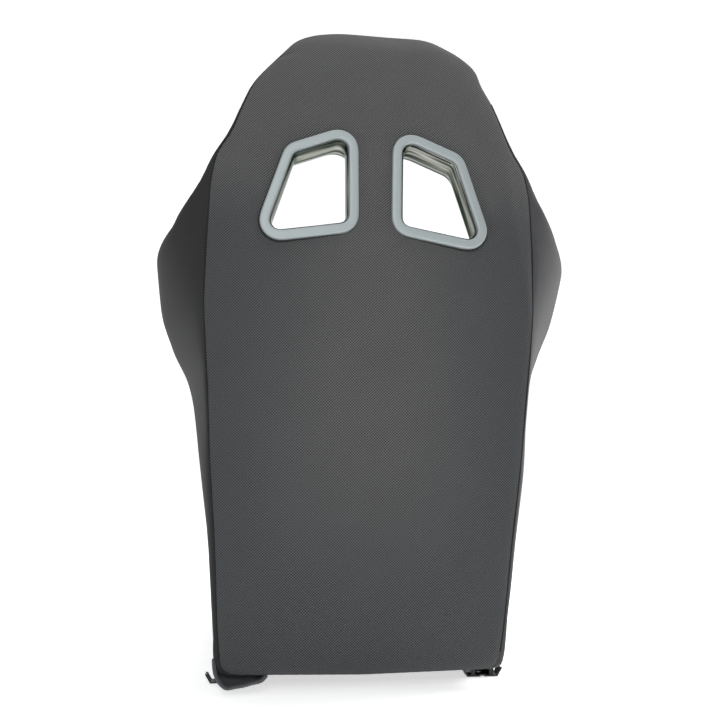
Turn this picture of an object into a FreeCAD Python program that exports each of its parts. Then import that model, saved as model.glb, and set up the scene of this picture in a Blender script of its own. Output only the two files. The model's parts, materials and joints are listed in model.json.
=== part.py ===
import FreeCAD, Part
import math
import os

# Fixed-back racing seat on a pair of slide rails.  All sizes are in millimetres.
# +X is the occupant's left, the seat faces -Y and +Z is up.  The origin is on the
# floor, under the middle of the whole seat.

# ---- driving dimensions -------------------------------------------------------
OVERALL_HEIGHT = 900.0
OVERALL_DEPTH = 600.0
FRONT_Y = -OVERALL_DEPTH / 2.0
HEM_Z = 26.0

# Backrest seen from the side: height and place of the middle of its rear face.
REAR_PROFILE = [(25, 216), (150, 243), (300, 271), (450, 290), (600, 297), (720, 294), (800, 285),
                (860, 272), (900, 251)]
CROWN = 9.0
COVER_THICKNESS = 3.0

# Half-widths of the rear cover up to its seam, and of the whole backrest.
SEAM_HALF_WIDTH = [(25, 183), (130, 187), (300, 203), (430, 213), (640, 213), (680, 203), (720, 181),
                   (760, 171), (800, 160), (840, 121), (870, 82), (900, 58)]
# Side bolster: height, half-width, and the places along Y of its widest line and its tip.
BOLSTER_STATIONS = [(75, 192, 215, 168), (200, 203, 224, 166), (300, 219, 210, 160),
                    (360, 229, 200, 132), (400, 245, 172, 110), (450, 272, 150, 96),
                    (500, 286, 162, 100), (555, 291, 193, 122), (600, 258, 250, 158),
                    (640, 229, 264, 192), (680, 218, 262, 212), (720, 190, 262, 214),
                    (760, 179, 258, 208), (790, 171, 252, 201), (838, 130, 244, 194),
                    (862, 106, 233, 190)]

# Padding: distance from the rear face to the front of the pad, by height.
PAD_DEPTH = [(25, 80), (520, 80), (580, 66), (715, 66), (770, 84), (850, 86), (900, 74)]
PAD_BOTTOM_Z = 150.0
PAD_TOP_Z = 874.0

# Tubular frame.
TUBE_RADIUS = 12.5
TUBE_WALL = 2.0
CROSS_TUBE_RADIUS = 10.0
ROD_RADIUS = 6.0
HOOP_INSET = 23.5
HOOP_HALF_WIDTH = 170.0
HOOP_BOTTOM_Z = 36.0
HOOP_SHOULDER = (600.0, 170.0)
HOOP_NECK = (790.0, 140.0)
HOOP_CROWN = (862.0, 72.0)
HOOP_LUMBAR_Z = 310.0
HOOP_BEND = 55.0
CROSS_TUBE_HEIGHTS = {"lumbar_cross_tube": 300.0, "shoulder_cross_tube": 541.0, "neck_cross_tube": 762.0}
FOAM_GAP = 0.8

# Base frame, which slopes up towards the front.
BASE_REAR_Y = 192.0
BASE_REAR_Z = 58.0
BASE_FRONT_Y = -252.0
BASE_FRONT_Z = 92.0
BASE_SLOPE = (BASE_FRONT_Z - BASE_REAR_Z) / (BASE_REAR_Y - BASE_FRONT_Y)
BASE_BEND = 60.0
WEB_THICKNESS = 2.0
BACK_WEB_HEIGHTS = (190.0, 250.0, 350.0, 410.0, 470.0)
BACK_WEB_WIDTH = 40.0
SEAT_WEB_PLACES = (126.0, 62.0, 2.0, -118.0, -166.0)
SEAT_WEB_WIDTH = 36.0

# Seat cushion and thigh bolsters.
CUSHION_HALF_WIDTH = 149.0
CUSHION_REAR_Y = 158.0
CUSHION_REAR_TOP = 188.0
CUSHION_FRONT_TOP = 236.0
THIGH_REAR_TOP = 276.0
THIGH_FRONT_TOP = 268.0
BASE_HALF_WIDTH_REAR = 189.0
BASE_HALF_WIDTH_FRONT = 222.0
STRAP_SLOT_Y = -62.0
STRAP_SLOT_LENGTH = 76.0
STRAP_SLOT_WIDTH = 26.0

# Harness slots: corners of the clear opening as (x, z), on the left side.
SLOT_CORNERS = [(37.0, 598.0), (139.0, 580.5), (106.0, 687.0), (38.5, 714.5)]
SLOT_CORNER_RADIUS = 11.0
BEZEL_WIDTH = 15.0
BEZEL_LEAN = 1.1
BEZEL_REAR_Y = 298.5
FRONT_BEZEL_WIDTH = 12.0
FRONT_BEZEL_Y = 230.0
FLARE_START_Y = 263.0
FLARE = 14.0
BEZEL_EDGE = 2.5
BEZEL_FRONT_Y = 288.5
SLEEVE_WALL = 2.0

# Slide rails.
RAIL_SPACING = 350.0
RAIL_X = RAIL_SPACING / 2.0
RAIL_WIDTH = 32.0
RAIL_REAR_Y = 155.0
LOWER_RAIL_LENGTH = 420.0
RAIL_MIDDLE_Y = RAIL_REAR_Y - LOWER_RAIL_LENGTH / 2.0
UPPER_RAIL_LENGTH = 320.0
RAIL_TOP_Z = 26.0
LOWER_RAIL_HEIGHT = 20.0
RAIL_EAR_REACH = 28.5
RAIL_EAR_HEIGHT = 11.0
RAIL_EAR_LENGTH = 16.0
STEEL = 2.0
SLIDE_TRAVEL = 90.0
NOTCH_PITCH = 10.0
FLOOR_BOLT_SPACING = 380.0
FLOOR_BOLT_RADIUS = 4.5
M8_RADIUS = 4.0
M8_CLEARANCE_RADIUS = 4.3
RISER_PLACES = {"front": -185.0, "rear": 62.0}

# Latch and release bar.
LATCH_X = 152.5
LATCH_PIVOT_Y = -60.0
LATCH_PIVOT_Z = 23.0
LATCH_THICKNESS = 3.0
TOOTH_PLACES = [-110.0, -120.0, -130.0]
BAR_RADIUS = 5.0
BAR_BEND = 26.0
BAR_JOINT_Y = -150.0
BAR_FRONT_Y = -286.0
BAR_FRONT_Z = 34.0

SIDES = {"left": 1.0, "right": -1.0}
X_AXIS = FreeCAD.Vector(1, 0, 0)
Y_AXIS = FreeCAD.Vector(0, 1, 0)
Z_AXIS = FreeCAD.Vector(0, 0, 1)
ORIGIN = FreeCAD.Vector(0, 0, 0)


# ---- geometry helpers ----------------------------------------------------------
def vector(x, y, z):
    return FreeCAD.Vector(x, y, z)


def value_at(table, place):
    """Straight-line value between the rows of a (place, value) table."""
    if place <= table[0][0]:
        return table[0][1]
    for (low, low_value), (high, high_value) in zip(table, table[1:]):
        if place <= high:
            return low_value + (high_value - low_value) * (place - low) / (high - low)
    return table[-1][1]


def corner_arc(before, corner, after, radius):
    """The arc that rounds a corner and its two tangent points."""
    back = (before - corner).normalize()
    ahead = (after - corner).normalize()
    half_angle = back.getAngle(ahead) / 2.0
    reach = radius / math.tan(half_angle)
    start = corner + back * reach
    end = corner + ahead * reach
    middle_line = (back + ahead).normalize()
    middle = corner + middle_line * (radius / math.sin(half_angle) - radius)
    return start, middle, end


def rounded_path(points, radius):
    """An open wire of straight runs joined by tangent arcs."""
    edges = []
    here = points[0]
    for before, corner, after in zip(points, points[1:], points[2:]):
        start, middle, end = corner_arc(before, corner, after, radius)
        edges.append(Part.LineSegment(here, start).toShape())
        edges.append(Part.Arc(start, middle, end).toShape())
        here = end
    edges.append(Part.LineSegment(here, points[-1]).toShape())
    return Part.Wire(edges)


def rounded_outline(points, radius):
    """A closed wire with every corner rounded."""
    count = len(points)
    arcs = []
    for index in range(count):
        arcs.append(corner_arc(points[index - 1], points[index], points[(index + 1) % count], radius))
    edges = []
    for index in range(count):
        start, middle, end = arcs[index]
        edges.append(Part.Arc(start, middle, end).toShape())
        edges.append(Part.LineSegment(end, arcs[(index + 1) % count][0]).toShape())
    return Part.Wire(edges)


def bar_along(points, bend_radius, radius):
    """A round solid bar swept along straight runs and arcs."""
    path = rounded_path(points, bend_radius)
    direction = points[1] - points[0]
    section = Part.Wire(Part.makeCircle(radius, points[0], direction))
    return path.makePipeShell([section], True, False)


def tube_along(points, bend_radius, radius, wall):
    """A round tube swept along straight runs and arcs."""
    return bar_along(points, bend_radius, radius).cut(bar_along(points, bend_radius, radius - wall))


def straight_tube(start, end, radius, wall):
    """A straight round tube between two points."""
    direction = end - start
    outer = Part.makeCylinder(radius, direction.Length, start, direction)
    inner = Part.makeCylinder(radius - wall, direction.Length, start, direction)
    return outer.cut(inner)


def block(x_range, y_range, z_range):
    """A box from its ranges along each axis."""
    size = [high - low for low, high in (x_range, y_range, z_range)]
    return Part.makeBox(*size, vector(x_range[0], y_range[0], z_range[0]))


def extruded(points, direction):
    """A prism from a closed polygon."""
    return Part.Face(Part.makePolygon(points + [points[0]])).extrude(direction)


def ruled_body(sections):
    """A closed solid through polygons that have the same number of corners."""
    wires = [Part.makePolygon(points + [points[0]]) for points in sections]
    return Part.makeLoft(wires, True, True)


def mirrored(shape):
    return shape.mirror(ORIGIN, X_AXIS)


def both_sides(shape):
    """The shape for the left side and its mirror image for the right."""
    return {"left": shape, "right": mirrored(shape)}


# ---- shared surfaces ------------------------------------------------------------
def rear_y(z):
    return value_at(REAR_PROFILE, z)


def hoop_x(z):
    """Distance of the back hoop's axis from the middle of the seat."""
    return value_at([(HOOP_BOTTOM_Z, HOOP_HALF_WIDTH), HOOP_SHOULDER, HOOP_NECK, HOOP_CROWN], z)


def hoop_y(z):
    """Place of the back hoop's axis along Y, on its straight runs."""
    corners = [HOOP_BOTTOM_Z, HOOP_LUMBAR_Z, HOOP_SHOULDER[0], HOOP_NECK[0], HOOP_CROWN[0]]
    return value_at([(corner, rear_y(corner) - HOOP_INSET) for corner in corners], z)


def hoop_front_y(z):
    """Front of the back hoop's tube at a height."""
    slope = hoop_y(z + 1.0) - hoop_y(z)
    return hoop_y(z) - TUBE_RADIUS * math.sqrt(1.0 + slope * slope)


def base_tube_z(y):
    return BASE_REAR_Z + (BASE_REAR_Y - y) * BASE_SLOPE


def base_half_width(y):
    table = [(FRONT_Y, BASE_HALF_WIDTH_FRONT), (BASE_REAR_Y, BASE_HALF_WIDTH_REAR)]
    return value_at(table, y)


def base_tube_top(y):
    return base_tube_z(y) + TUBE_RADIUS * math.sqrt(1.0 + BASE_SLOPE * BASE_SLOPE)


def cushion_bottom(y):
    return base_tube_top(y) + WEB_THICKNESS + FOAM_GAP


# ---- tubular frame ----------------------------------------------------------------
def hoop_points():
    """Left leg from the floor end to the crown, then down the right leg."""
    heights = [HOOP_BOTTOM_Z, HOOP_LUMBAR_Z, HOOP_SHOULDER[0], HOOP_NECK[0], HOOP_CROWN[0]]
    left = [vector(hoop_x(height), hoop_y(height), height) for height in heights]
    right = [vector(-point.x, point.y, point.z) for point in reversed(left)]
    return left + right


def back_hoop_bar(growth=0.0):
    return bar_along(hoop_points(), HOOP_BEND, TUBE_RADIUS + growth)


def back_hoop_tube():
    return tube_along(hoop_points(), HOOP_BEND, TUBE_RADIUS, TUBE_WALL)


def base_hoop_points():
    return [vector(HOOP_HALF_WIDTH, BASE_REAR_Y, BASE_REAR_Z),
            vector(HOOP_HALF_WIDTH, BASE_FRONT_Y, BASE_FRONT_Z),
            vector(-HOOP_HALF_WIDTH, BASE_FRONT_Y, BASE_FRONT_Z),
            vector(-HOOP_HALF_WIDTH, BASE_REAR_Y, BASE_REAR_Z)]


def base_hoop_bar():
    return bar_along(base_hoop_points(), BASE_BEND, TUBE_RADIUS)


def base_hoop_tube(back_hoop):
    """The U-shaped base tube, its rear ends coped to the back hoop's legs."""
    return tube_along(base_hoop_points(), BASE_BEND, TUBE_RADIUS, TUBE_WALL).cut(back_hoop)


def cross_tube(height, back_hoop):
    """A straight tube between the legs of the back hoop, coped at both ends."""
    reach = hoop_x(height)
    y = hoop_y(height)
    tube = straight_tube(vector(-reach, y, height), vector(reach, y, height), CROSS_TUBE_RADIUS, TUBE_WALL)
    return tube.cut(back_hoop)


def base_cross_tube(y, base_hoop):
    z = base_tube_z(y)
    tube = straight_tube(vector(-HOOP_HALF_WIDTH, y, z), vector(HOOP_HALF_WIDTH, y, z),
                         CROSS_TUBE_RADIUS, TUBE_WALL)
    return tube.cut(base_hoop)


def wing_rod(radius):
    """Bent rod that carries the left shoulder wing, up to the axis of the hoop's leg."""
    points = [vector(HOOP_HALF_WIDTH, hoop_y(592.0), 592.0),
              vector(252.0, 178.0, 556.0),
              vector(250.0, 140.0, 462.0),
              vector(HOOP_HALF_WIDTH, hoop_y(425.0), 425.0)]
    return bar_along(points, 28.0, radius)


def thigh_rod(radius):
    """Bent rod that carries the left thigh bolster, up to the axis of the base tube."""
    rear_place = 96.0
    front_place = -196.0
    points = [vector(HOOP_HALF_WIDTH, rear_place, base_tube_z(rear_place)),
              vector(179.0, rear_place - 20.0, 196.0),
              vector(190.0, front_place + 20.0, 205.0),
              vector(HOOP_HALF_WIDTH, front_place, base_tube_z(front_place))]
    return bar_along(points, 30.0, radius)


def back_webbing():
    """Elastic straps across the front of the back hoop's legs, clear of the slots."""
    straps = []
    for height in BACK_WEB_HEIGHTS:
        low = height - BACK_WEB_WIDTH / 2.0
        high = height + BACK_WEB_WIDTH / 2.0
        side_view = [(hoop_front_y(low), low), (hoop_front_y(high), high),
                     (hoop_front_y(high) - WEB_THICKNESS, high), (hoop_front_y(low) - WEB_THICKNESS, low)]
        straps.append(across_seat(side_view))
    return Part.makeCompound(straps)


def seat_webbing():
    """Elastic straps across the top of the base tubes."""
    straps = []
    for place in SEAT_WEB_PLACES:
        near = place - SEAT_WEB_WIDTH / 2.0
        far = place + SEAT_WEB_WIDTH / 2.0
        side_view = [(near, base_tube_top(near)), (far, base_tube_top(far)),
                     (far, base_tube_top(far) + WEB_THICKNESS), (near, base_tube_top(near) + WEB_THICKNESS)]
        straps.append(across_seat(side_view))
    return Part.makeCompound(straps)


def across_seat(side_view):
    """Prism from tube axis to tube axis with the given (y, z) outline."""
    points = [vector(-HOOP_HALF_WIDTH, y, z) for y, z in side_view]
    return extruded(points, vector(2.0 * HOOP_HALF_WIDTH, 0, 0))


# ---- padding -------------------------------------------------------------------------
def pad_section(z):
    """Six-sided slice of the back pad, with both front corners cut off."""
    rear = hoop_front_y(z) - WEB_THICKNESS - FOAM_GAP
    front = rear_y(z) - value_at(PAD_DEPTH, z)
    half = min(hoop_x(z) + TUBE_RADIUS + 1.0, 182.0)
    cut = 16.0
    outline = [(-half, rear), (half, rear), (half, front + cut), (half - cut, front),
               (cut - half, front), (-half, front + cut)]
    return [vector(x, y, z) for x, y in outline]


def slot_corners(side, growth):
    """Corners of a harness slot's opening, moved outward by a growth."""
    moved = []
    count = len(SLOT_CORNERS)
    for index in range(count):
        before = vector(*SLOT_CORNERS[index - 1], 0)
        corner = vector(*SLOT_CORNERS[index], 0)
        after = vector(*SLOT_CORNERS[(index + 1) % count], 0)
        back = (before - corner).normalize()
        ahead = (after - corner).normalize()
        half_angle = back.getAngle(ahead) / 2.0
        outward = (back + ahead).normalize() * (-growth / math.sin(half_angle))
        moved.append((side * (corner.x + outward.x), corner.y + outward.y))
    return moved


def slot_wire(growth, y):
    corners = [vector(x, y, z) for x, z in slot_corners(1.0, growth)]
    return rounded_outline(corners, SLOT_CORNER_RADIUS + growth)


def slot_prism(growth, low_y, high_y):
    """Prism along Y with a harness slot's outline, leaning with the bezels."""
    prism = Part.Face(slot_wire(growth, low_y)).extrude(vector(0, high_y - low_y, 0))
    return leaned(prism)


def leaned(shape):
    """The shape turned with the rear face of the backrest at shoulder height."""
    turned = shape.copy()
    turned.rotate(vector(0, BEZEL_FRONT_Y, 648.0), X_AXIS, BEZEL_LEAN)
    return turned


def without_slots(shape, growth):
    hole = slot_prism(growth, 150.0, 330.0)
    return shape.cut(hole).cut(mirrored(hole))


def slot_tunnel(growth, rear_end):
    """Space of a harness slot: straight at the rear and flared towards the front."""
    straight = slot_loft(growth, FLARE_START_Y, growth, rear_end)
    flared = slot_loft(growth + FLARE, FRONT_BEZEL_Y, growth, FLARE_START_Y)
    return straight.fuse(flared)


def back_pad():
    heights = [PAD_BOTTOM_Z, 300.0, 450.0, 520.0, 580.0, 600.0, 715.0, 770.0, HOOP_NECK[0], 850.0,
               HOOP_CROWN[0], PAD_TOP_Z]
    pad = ruled_body([pad_section(z) for z in heights])
    tunnel = leaned(slot_tunnel(SLEEVE_WALL + FOAM_GAP, 330.0))
    recess = slot_prism(FLARE + FRONT_BEZEL_WIDTH + FOAM_GAP, 150.0, FRONT_BEZEL_Y + FOAM_GAP)
    for cutter in (tunnel, recess, wing_rod(ROD_RADIUS + FOAM_GAP)):
        pad = pad.cut(cutter).cut(mirrored(cutter))
    return pad.cut(back_hoop_bar(FOAM_GAP))


def head_top_pad():
    """Padding over the crown of the back hoop."""
    sections = []
    for z, half, front in ((PAD_TOP_Z + 2.0, 84.0, 186.0), (OVERALL_HEIGHT - 3.0, 52.0, 196.0)):
        rear = rear_y(z) - CROWN * 0.3 - COVER_THICKNESS - 1.0
        sections.append([vector(-half, rear, z), vector(half, rear, z), vector(half, front, z),
                         vector(-half, front, z)])
    return ruled_body(sections)


def cover_edge_y(z):
    """Where the rear cover ends at its seam, along Y."""
    ratio = value_at(SEAM_HALF_WIDTH, z) / value_at(SEAM_HALF_WIDTH, 500.0)
    return rear_y(z) - CROWN * ratio * ratio


def bolster_section(z, outer, widest_y, tip_y):
    """Seven-sided slice of the left side bolster."""
    inner = hoop_x(z) + TUBE_RADIUS + 2.0
    rear = cover_edge_y(z) - COVER_THICKNESS - 1.0
    seam = min(value_at(SEAM_HALF_WIDTH, z), outer - 2.0)
    pad_front = rear_y(z) - value_at(PAD_DEPTH, z) + 14.0
    width = outer - inner
    outline = [(inner, rear), (seam, rear), (outer, widest_y), (inner + 0.88 * width, tip_y + 10.0),
               (inner + 0.74 * width, tip_y), (inner + 0.5 * width, tip_y + 5.0), (inner, pad_front)]
    return [vector(x, y, z) for x, y in outline]


def side_bolster():
    """Left side bolster, from the base past the shoulder wing to the head."""
    body = ruled_body([bolster_section(*station) for station in BOLSTER_STATIONS])
    return body.cut(wing_rod(ROD_RADIUS + FOAM_GAP)).cut(back_hoop_bar(FOAM_GAP))


def strap_slot_prism(growth, low_z, high_z):
    """Rounded prism along Z for the strap slot through the cushion."""
    half_x = STRAP_SLOT_LENGTH / 2.0 + growth
    half_y = STRAP_SLOT_WIDTH / 2.0 + growth
    corners = [vector(-half_x, STRAP_SLOT_Y - half_y, low_z), vector(half_x, STRAP_SLOT_Y - half_y, low_z),
               vector(half_x, STRAP_SLOT_Y + half_y, low_z), vector(-half_x, STRAP_SLOT_Y + half_y, low_z)]
    outline = rounded_outline(corners, 8.0 + growth)
    return Part.Face(outline).extrude(vector(0, 0, high_z - low_z))


def cushion_top(y):
    return value_at([(-255.0, CUSHION_FRONT_TOP), (CUSHION_REAR_Y, CUSHION_REAR_TOP)], y)


def seat_cushion():
    """Cushion with a rolled front, as a side profile carried across the seat."""
    half = CUSHION_HALF_WIDTH
    front_low = vector(-half, FRONT_Y + 18.0, cushion_bottom(FRONT_Y + 18.0))
    front_out = vector(-half, FRONT_Y + 0.2, 168.0)
    front_top = vector(-half, -255.0, CUSHION_FRONT_TOP)
    rear_top = vector(-half, CUSHION_REAR_Y, CUSHION_REAR_TOP)
    rear_low = vector(-half, CUSHION_REAR_Y, cushion_bottom(CUSHION_REAR_Y))
    outline = Part.Wire([Part.Arc(front_low, front_out, front_top).toShape(),
                         Part.LineSegment(front_top, rear_top).toShape(),
                         Part.LineSegment(rear_top, rear_low).toShape(),
                         Part.LineSegment(rear_low, front_low).toShape()])
    cushion = Part.Face(outline).extrude(vector(2.0 * half, 0, 0))
    return cushion.cut(strap_slot_prism(SLEEVE_WALL + FOAM_GAP, 40.0, 300.0))


def thigh_bolster():
    """Left thigh bolster, sections from its rear end to its rounded front end."""
    sections = []
    for y, drop, inset in ((CUSHION_REAR_Y, 0.0, 0.0), (-40.0, 0.0, 0.0), (-240.0, 6.0, 0.0),
                           (-278.0, 34.0, 5.0), (FRONT_Y + 2.0, 78.0, 14.0)):
        bottom = cushion_bottom(max(y, FRONT_Y + 18.0)) + inset * 0.6
        top = value_at([(FRONT_Y, THIGH_FRONT_TOP), (CUSHION_REAR_Y, THIGH_REAR_TOP)], y) - drop
        outer = base_half_width(y) - inset
        inner = CUSHION_HALF_WIDTH + 1.0
        width = outer - inner
        outline = [(inner, bottom), (outer, bottom), (outer + 2.0, (bottom + top) / 2.0),
                   (outer - 4.0, top - 16.0), (inner + 0.7 * width, top), (inner + 0.36 * width, top - 6.0),
                   (inner, cushion_top(y) - 6.0 - drop)]
        sections.append([vector(x, y, z) for x, z in outline])
    return ruled_body(sections).cut(thigh_rod(ROD_RADIUS + FOAM_GAP))


# ---- covers ----------------------------------------------------------------------------
def cover_section(z):
    """Crowned slice of the rear cover, drawn as two arcs and two short ends."""
    half = value_at(SEAM_HALF_WIDTH, z)
    edge = cover_edge_y(z)
    middle = rear_y(z)
    inner_edge = edge - COVER_THICKNESS
    inner_middle = middle - COVER_THICKNESS
    outer_arc = Part.Arc(vector(-half, edge, z), vector(0, middle, z), vector(half, edge, z))
    inner_arc = Part.Arc(vector(half, inner_edge, z), vector(0, inner_middle, z),
                         vector(-half, inner_edge, z))
    right_end = Part.LineSegment(vector(half, edge, z), vector(half, inner_edge, z))
    left_end = Part.LineSegment(vector(-half, inner_edge, z), vector(-half, edge, z))
    return Part.Wire([outer_arc.toShape(), right_end.toShape(), inner_arc.toShape(), left_end.toShape()])


def rear_cover():
    """Foam-backed fabric panel over the whole back, open at the harness slots."""
    heights = [25.0, 130.0, 150.0, 300.0, 430.0, 450.0, 600.0, 640.0, 680.0, 720.0, 760.0, 800.0, 840.0,
               860.0, 870.0, OVERALL_HEIGHT]
    skin = Part.makeLoft([cover_section(z) for z in heights], True, True)
    return without_slots(skin, BEZEL_WIDTH + 0.5)


def base_skirt():
    """Cover around the sides and front of the base, with a hem that rises at the front."""
    front = FRONT_Y + 14.0
    side_end = BASE_REAR_Y + 4.0
    wall = COVER_THICKNESS

    def plan(inset):
        points = [vector(base_half_width(side_end) - inset, side_end, 0),
                  vector(base_half_width(front) - inset, front + inset, 0),
                  vector(inset - base_half_width(front), front + inset, 0),
                  vector(inset - base_half_width(side_end), side_end, 0)]
        return rounded_path(points, 46.0 - inset)

    outer = plan(0.0)
    inner = plan(wall)
    ends = []
    for index in (0, -1):
        ends.append(Part.LineSegment(outer.OrderedVertexes[index].Point,
                                     inner.OrderedVertexes[index].Point).toShape())
    strip = Part.Face(Part.Wire(Part.__sortEdges__(outer.Edges + inner.Edges + ends)))
    wall_body = strip.extrude(vector(0, 0, 200.0))
    side_view = [vector(-300, side_end + 1.0, HEM_Z), vector(-300, -150.0, HEM_Z),
                 vector(-300, FRONT_Y, 77.0), vector(-300, FRONT_Y, cushion_bottom(FRONT_Y) - 2.0),
                 vector(-300, side_end + 1.0, cushion_bottom(side_end) - 2.0)]
    return wall_body.common(extruded(side_view, vector(600, 0, 0)))


# ---- bezels --------------------------------------------------------------------------------
def slot_loft(low_growth, low_y, high_growth, high_y):
    """Body between two harness-slot outlines of different sizes."""
    return Part.makeLoft([slot_wire(low_growth, low_y), slot_wire(high_growth, high_y)], True, True)


def bezel_ring(hidden_y, visible_y, inner, outer):
    """Ring round a harness slot, bevelled inside and outside at its visible face."""
    outward = math.copysign(BEZEL_EDGE, visible_y - hidden_y)
    bevel_y = visible_y - outward
    body = slot_loft(outer, hidden_y, outer, bevel_y)
    body = body.fuse(slot_loft(outer, bevel_y, outer - BEZEL_EDGE, visible_y))
    hole = slot_loft(inner, hidden_y - outward, inner, bevel_y)
    hole = hole.fuse(slot_loft(inner, bevel_y, inner + BEZEL_EDGE, visible_y))
    return body.cut(hole).removeSplitter()


def rear_bezel():
    return leaned(bezel_ring(BEZEL_FRONT_Y, BEZEL_REAR_Y, 0.0, BEZEL_WIDTH))


def front_bezel():
    """Chrome ring on the front of the backrest with the flared sleeve that lines the slot."""
    ring = bezel_ring(FRONT_BEZEL_Y, FRONT_BEZEL_Y - 7.0, FLARE, FLARE + FRONT_BEZEL_WIDTH)
    sleeve = slot_tunnel(SLEEVE_WALL, BEZEL_FRONT_Y).cut(slot_tunnel(0.0, BEZEL_FRONT_Y))
    return leaned(ring.fuse(sleeve).removeSplitter())


def strap_slot_bezel():
    """Rim and sleeve of the slot for the straps between the legs."""
    top = cushion_top(STRAP_SLOT_Y - STRAP_SLOT_WIDTH) + 1.0
    rim = strap_slot_prism(12.0, top, top + 4.0)
    sleeve = strap_slot_prism(SLEEVE_WALL, cushion_bottom(STRAP_SLOT_Y) - 2.0, top + 1.0)
    return rim.fuse(sleeve).cut(strap_slot_prism(0.0, 20.0, 300.0)).removeSplitter()


# ---- slide rails ------------------------------------------------------------------------------
def rail_prism(outline, x_middle, low_y, high_y):
    """Prism along Y from a rail section drawn about the rail's own middle."""
    points = [vector(x_middle + x, low_y, z) for x, z in outline]
    return extruded(points, vector(0, high_y - low_y, 0))


def rail_ear(side):
    """Bent ear beside the rear end of a lower rail, sloping out and up from the floor."""
    foot = RAIL_EAR_REACH - 7.0
    outline = [(RAIL_WIDTH / 2.0, 0.0), (foot, 0.0), (RAIL_EAR_REACH, RAIL_EAR_HEIGHT),
               (RAIL_EAR_REACH - 2.6, RAIL_EAR_HEIGHT), (foot - 1.2, STEEL), (RAIL_WIDTH / 2.0, STEEL)]
    turned = [(side * x, z) for x, z in outline]
    return rail_prism(turned, RAIL_X, RAIL_REAR_Y - RAIL_EAR_LENGTH, RAIL_REAR_Y)


def lower_rail():
    """C-section fixed to the floor, with a pressed rib along its base and an ear each side at the rear."""
    half = RAIL_WIDTH / 2.0
    inner = half - STEEL
    lip = 10.0
    top = LOWER_RAIL_HEIGHT
    rib = 1.2
    right = [(3.0, rib), (3.0, 0.0), (half, 0.0), (half, top), (lip, top), (lip, top - STEEL),
             (inner, top - STEEL), (inner, STEEL), (4.5, STEEL), (4.5, STEEL + rib)]
    outline = right + [(-x, z) for x, z in reversed(right)]
    rail = rail_prism(outline, RAIL_X, RAIL_REAR_Y - LOWER_RAIL_LENGTH, RAIL_REAR_Y)
    rail = rail.fuse(rail_ear(1.0)).fuse(rail_ear(-1.0))
    for direction in (-1.0, 1.0):
        place = RAIL_MIDDLE_Y + direction * FLOOR_BOLT_SPACING / 2.0
        flat_x = (RAIL_X - 5.0, RAIL_X + 5.0)
        flat_y = (place - 12.0, place + 12.0)
        rail = rail.fuse(block(flat_x, flat_y, (0.0, STEEL)))
        rail = rail.cut(block(flat_x, flat_y, (STEEL, STEEL + rib)))
        rail = rail.cut(Part.makeCylinder(FLOOR_BOLT_RADIUS, 10.0, vector(RAIL_X, place, -2.0)))
    return rail.removeSplitter()


def upper_rail():
    """Hat section that runs inside the lower rail; its feet stop short of both ends."""
    outer = 9.0
    hat = [(-outer, 5.0), (-outer, RAIL_TOP_Z), (outer, RAIL_TOP_Z), (outer, 5.0), (outer - STEEL, 5.0),
           (outer - STEEL, RAIL_TOP_Z - STEEL), (STEEL - outer, RAIL_TOP_Z - STEEL), (STEEL - outer, 5.0)]
    half_length = UPPER_RAIL_LENGTH / 2.0
    rail = rail_prism(hat, RAIL_X, RAIL_MIDDLE_Y - half_length, RAIL_MIDDLE_Y + half_length)
    foot_reach = 115.0
    for side in (-1.0, 1.0):
        low_x, high_x = sorted((RAIL_X + side * outer, RAIL_X + side * 12.5))
        foot = block((low_x, high_x), (RAIL_MIDDLE_Y - foot_reach, RAIL_MIDDLE_Y + foot_reach), (5.0, 7.0))
        rail = rail.fuse(foot)
    for place in RISER_PLACES.values():
        rail = rail.cut(Part.makeCylinder(M8_CLEARANCE_RADIUS, 12.0, vector(RAIL_X, place, 20.0)))
    return rail.removeSplitter()


def rail_glides():
    """Nylon shoes clipped to the upper rails' feet, four to a rail."""
    shoes = []
    for side in (-1.0, 1.0):
        for end in (-1.0, 1.0):
            middle = RAIL_MIDDLE_Y + end * 98.0
            y_range = (middle - 16.0, middle + 16.0)
            inner_x, foot_x, outer_x = [RAIL_X + side * reach for reach in (9.5, 12.5, 13.6)]
            runner = block(sorted((inner_x, outer_x)), y_range, (2.4, 5.0))
            wall = block(sorted((foot_x, outer_x)), y_range, (5.0, 17.6))
            cap = block(sorted((inner_x, outer_x)), y_range, (7.0, 17.6))
            shoes.append(runner.fuse(wall).fuse(cap).removeSplitter())
    return Part.makeCompound(shoes + [mirrored(shoe) for shoe in shoes])


def rail_end_stops():
    """Steel blocks inside the lower rails that stop the shoes at both ends."""
    stops = []
    for side in (-1.0, 1.0):
        for end in (-1.0, 1.0):
            face = RAIL_MIDDLE_Y + end * (LOWER_RAIL_LENGTH / 2.0 - 5.0)
            y_range = sorted((face, face + end * 4.0))
            x_range = sorted((RAIL_X + side * 10.0, RAIL_X + side * 14.0))
            stops.append(block(x_range, y_range, (STEEL, 16.0)))
    return Part.makeCompound(stops + [mirrored(stop) for stop in stops])


def lock_rack():
    """Strip beside the lower rail with a row of windows for the latch teeth."""
    inner_x = RAIL_X - RAIL_WIDTH / 2.0
    first = TOOTH_PLACES[-1] - SLIDE_TRAVEL
    last = TOOTH_PLACES[0] + SLIDE_TRAVEL
    rack = block((inner_x - 12.0, inner_x), (first - 8.0, last + 8.0), (14.0, 17.0))
    count = int(round((last - first) / NOTCH_PITCH)) + 1
    for index in range(count):
        place = first + index * NOTCH_PITCH
        rack = rack.cut(block((LATCH_X - 2.3, LATCH_X + 2.3), (place - 3.0, place + 3.0), (13.0, 18.0)))
    return rack


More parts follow.
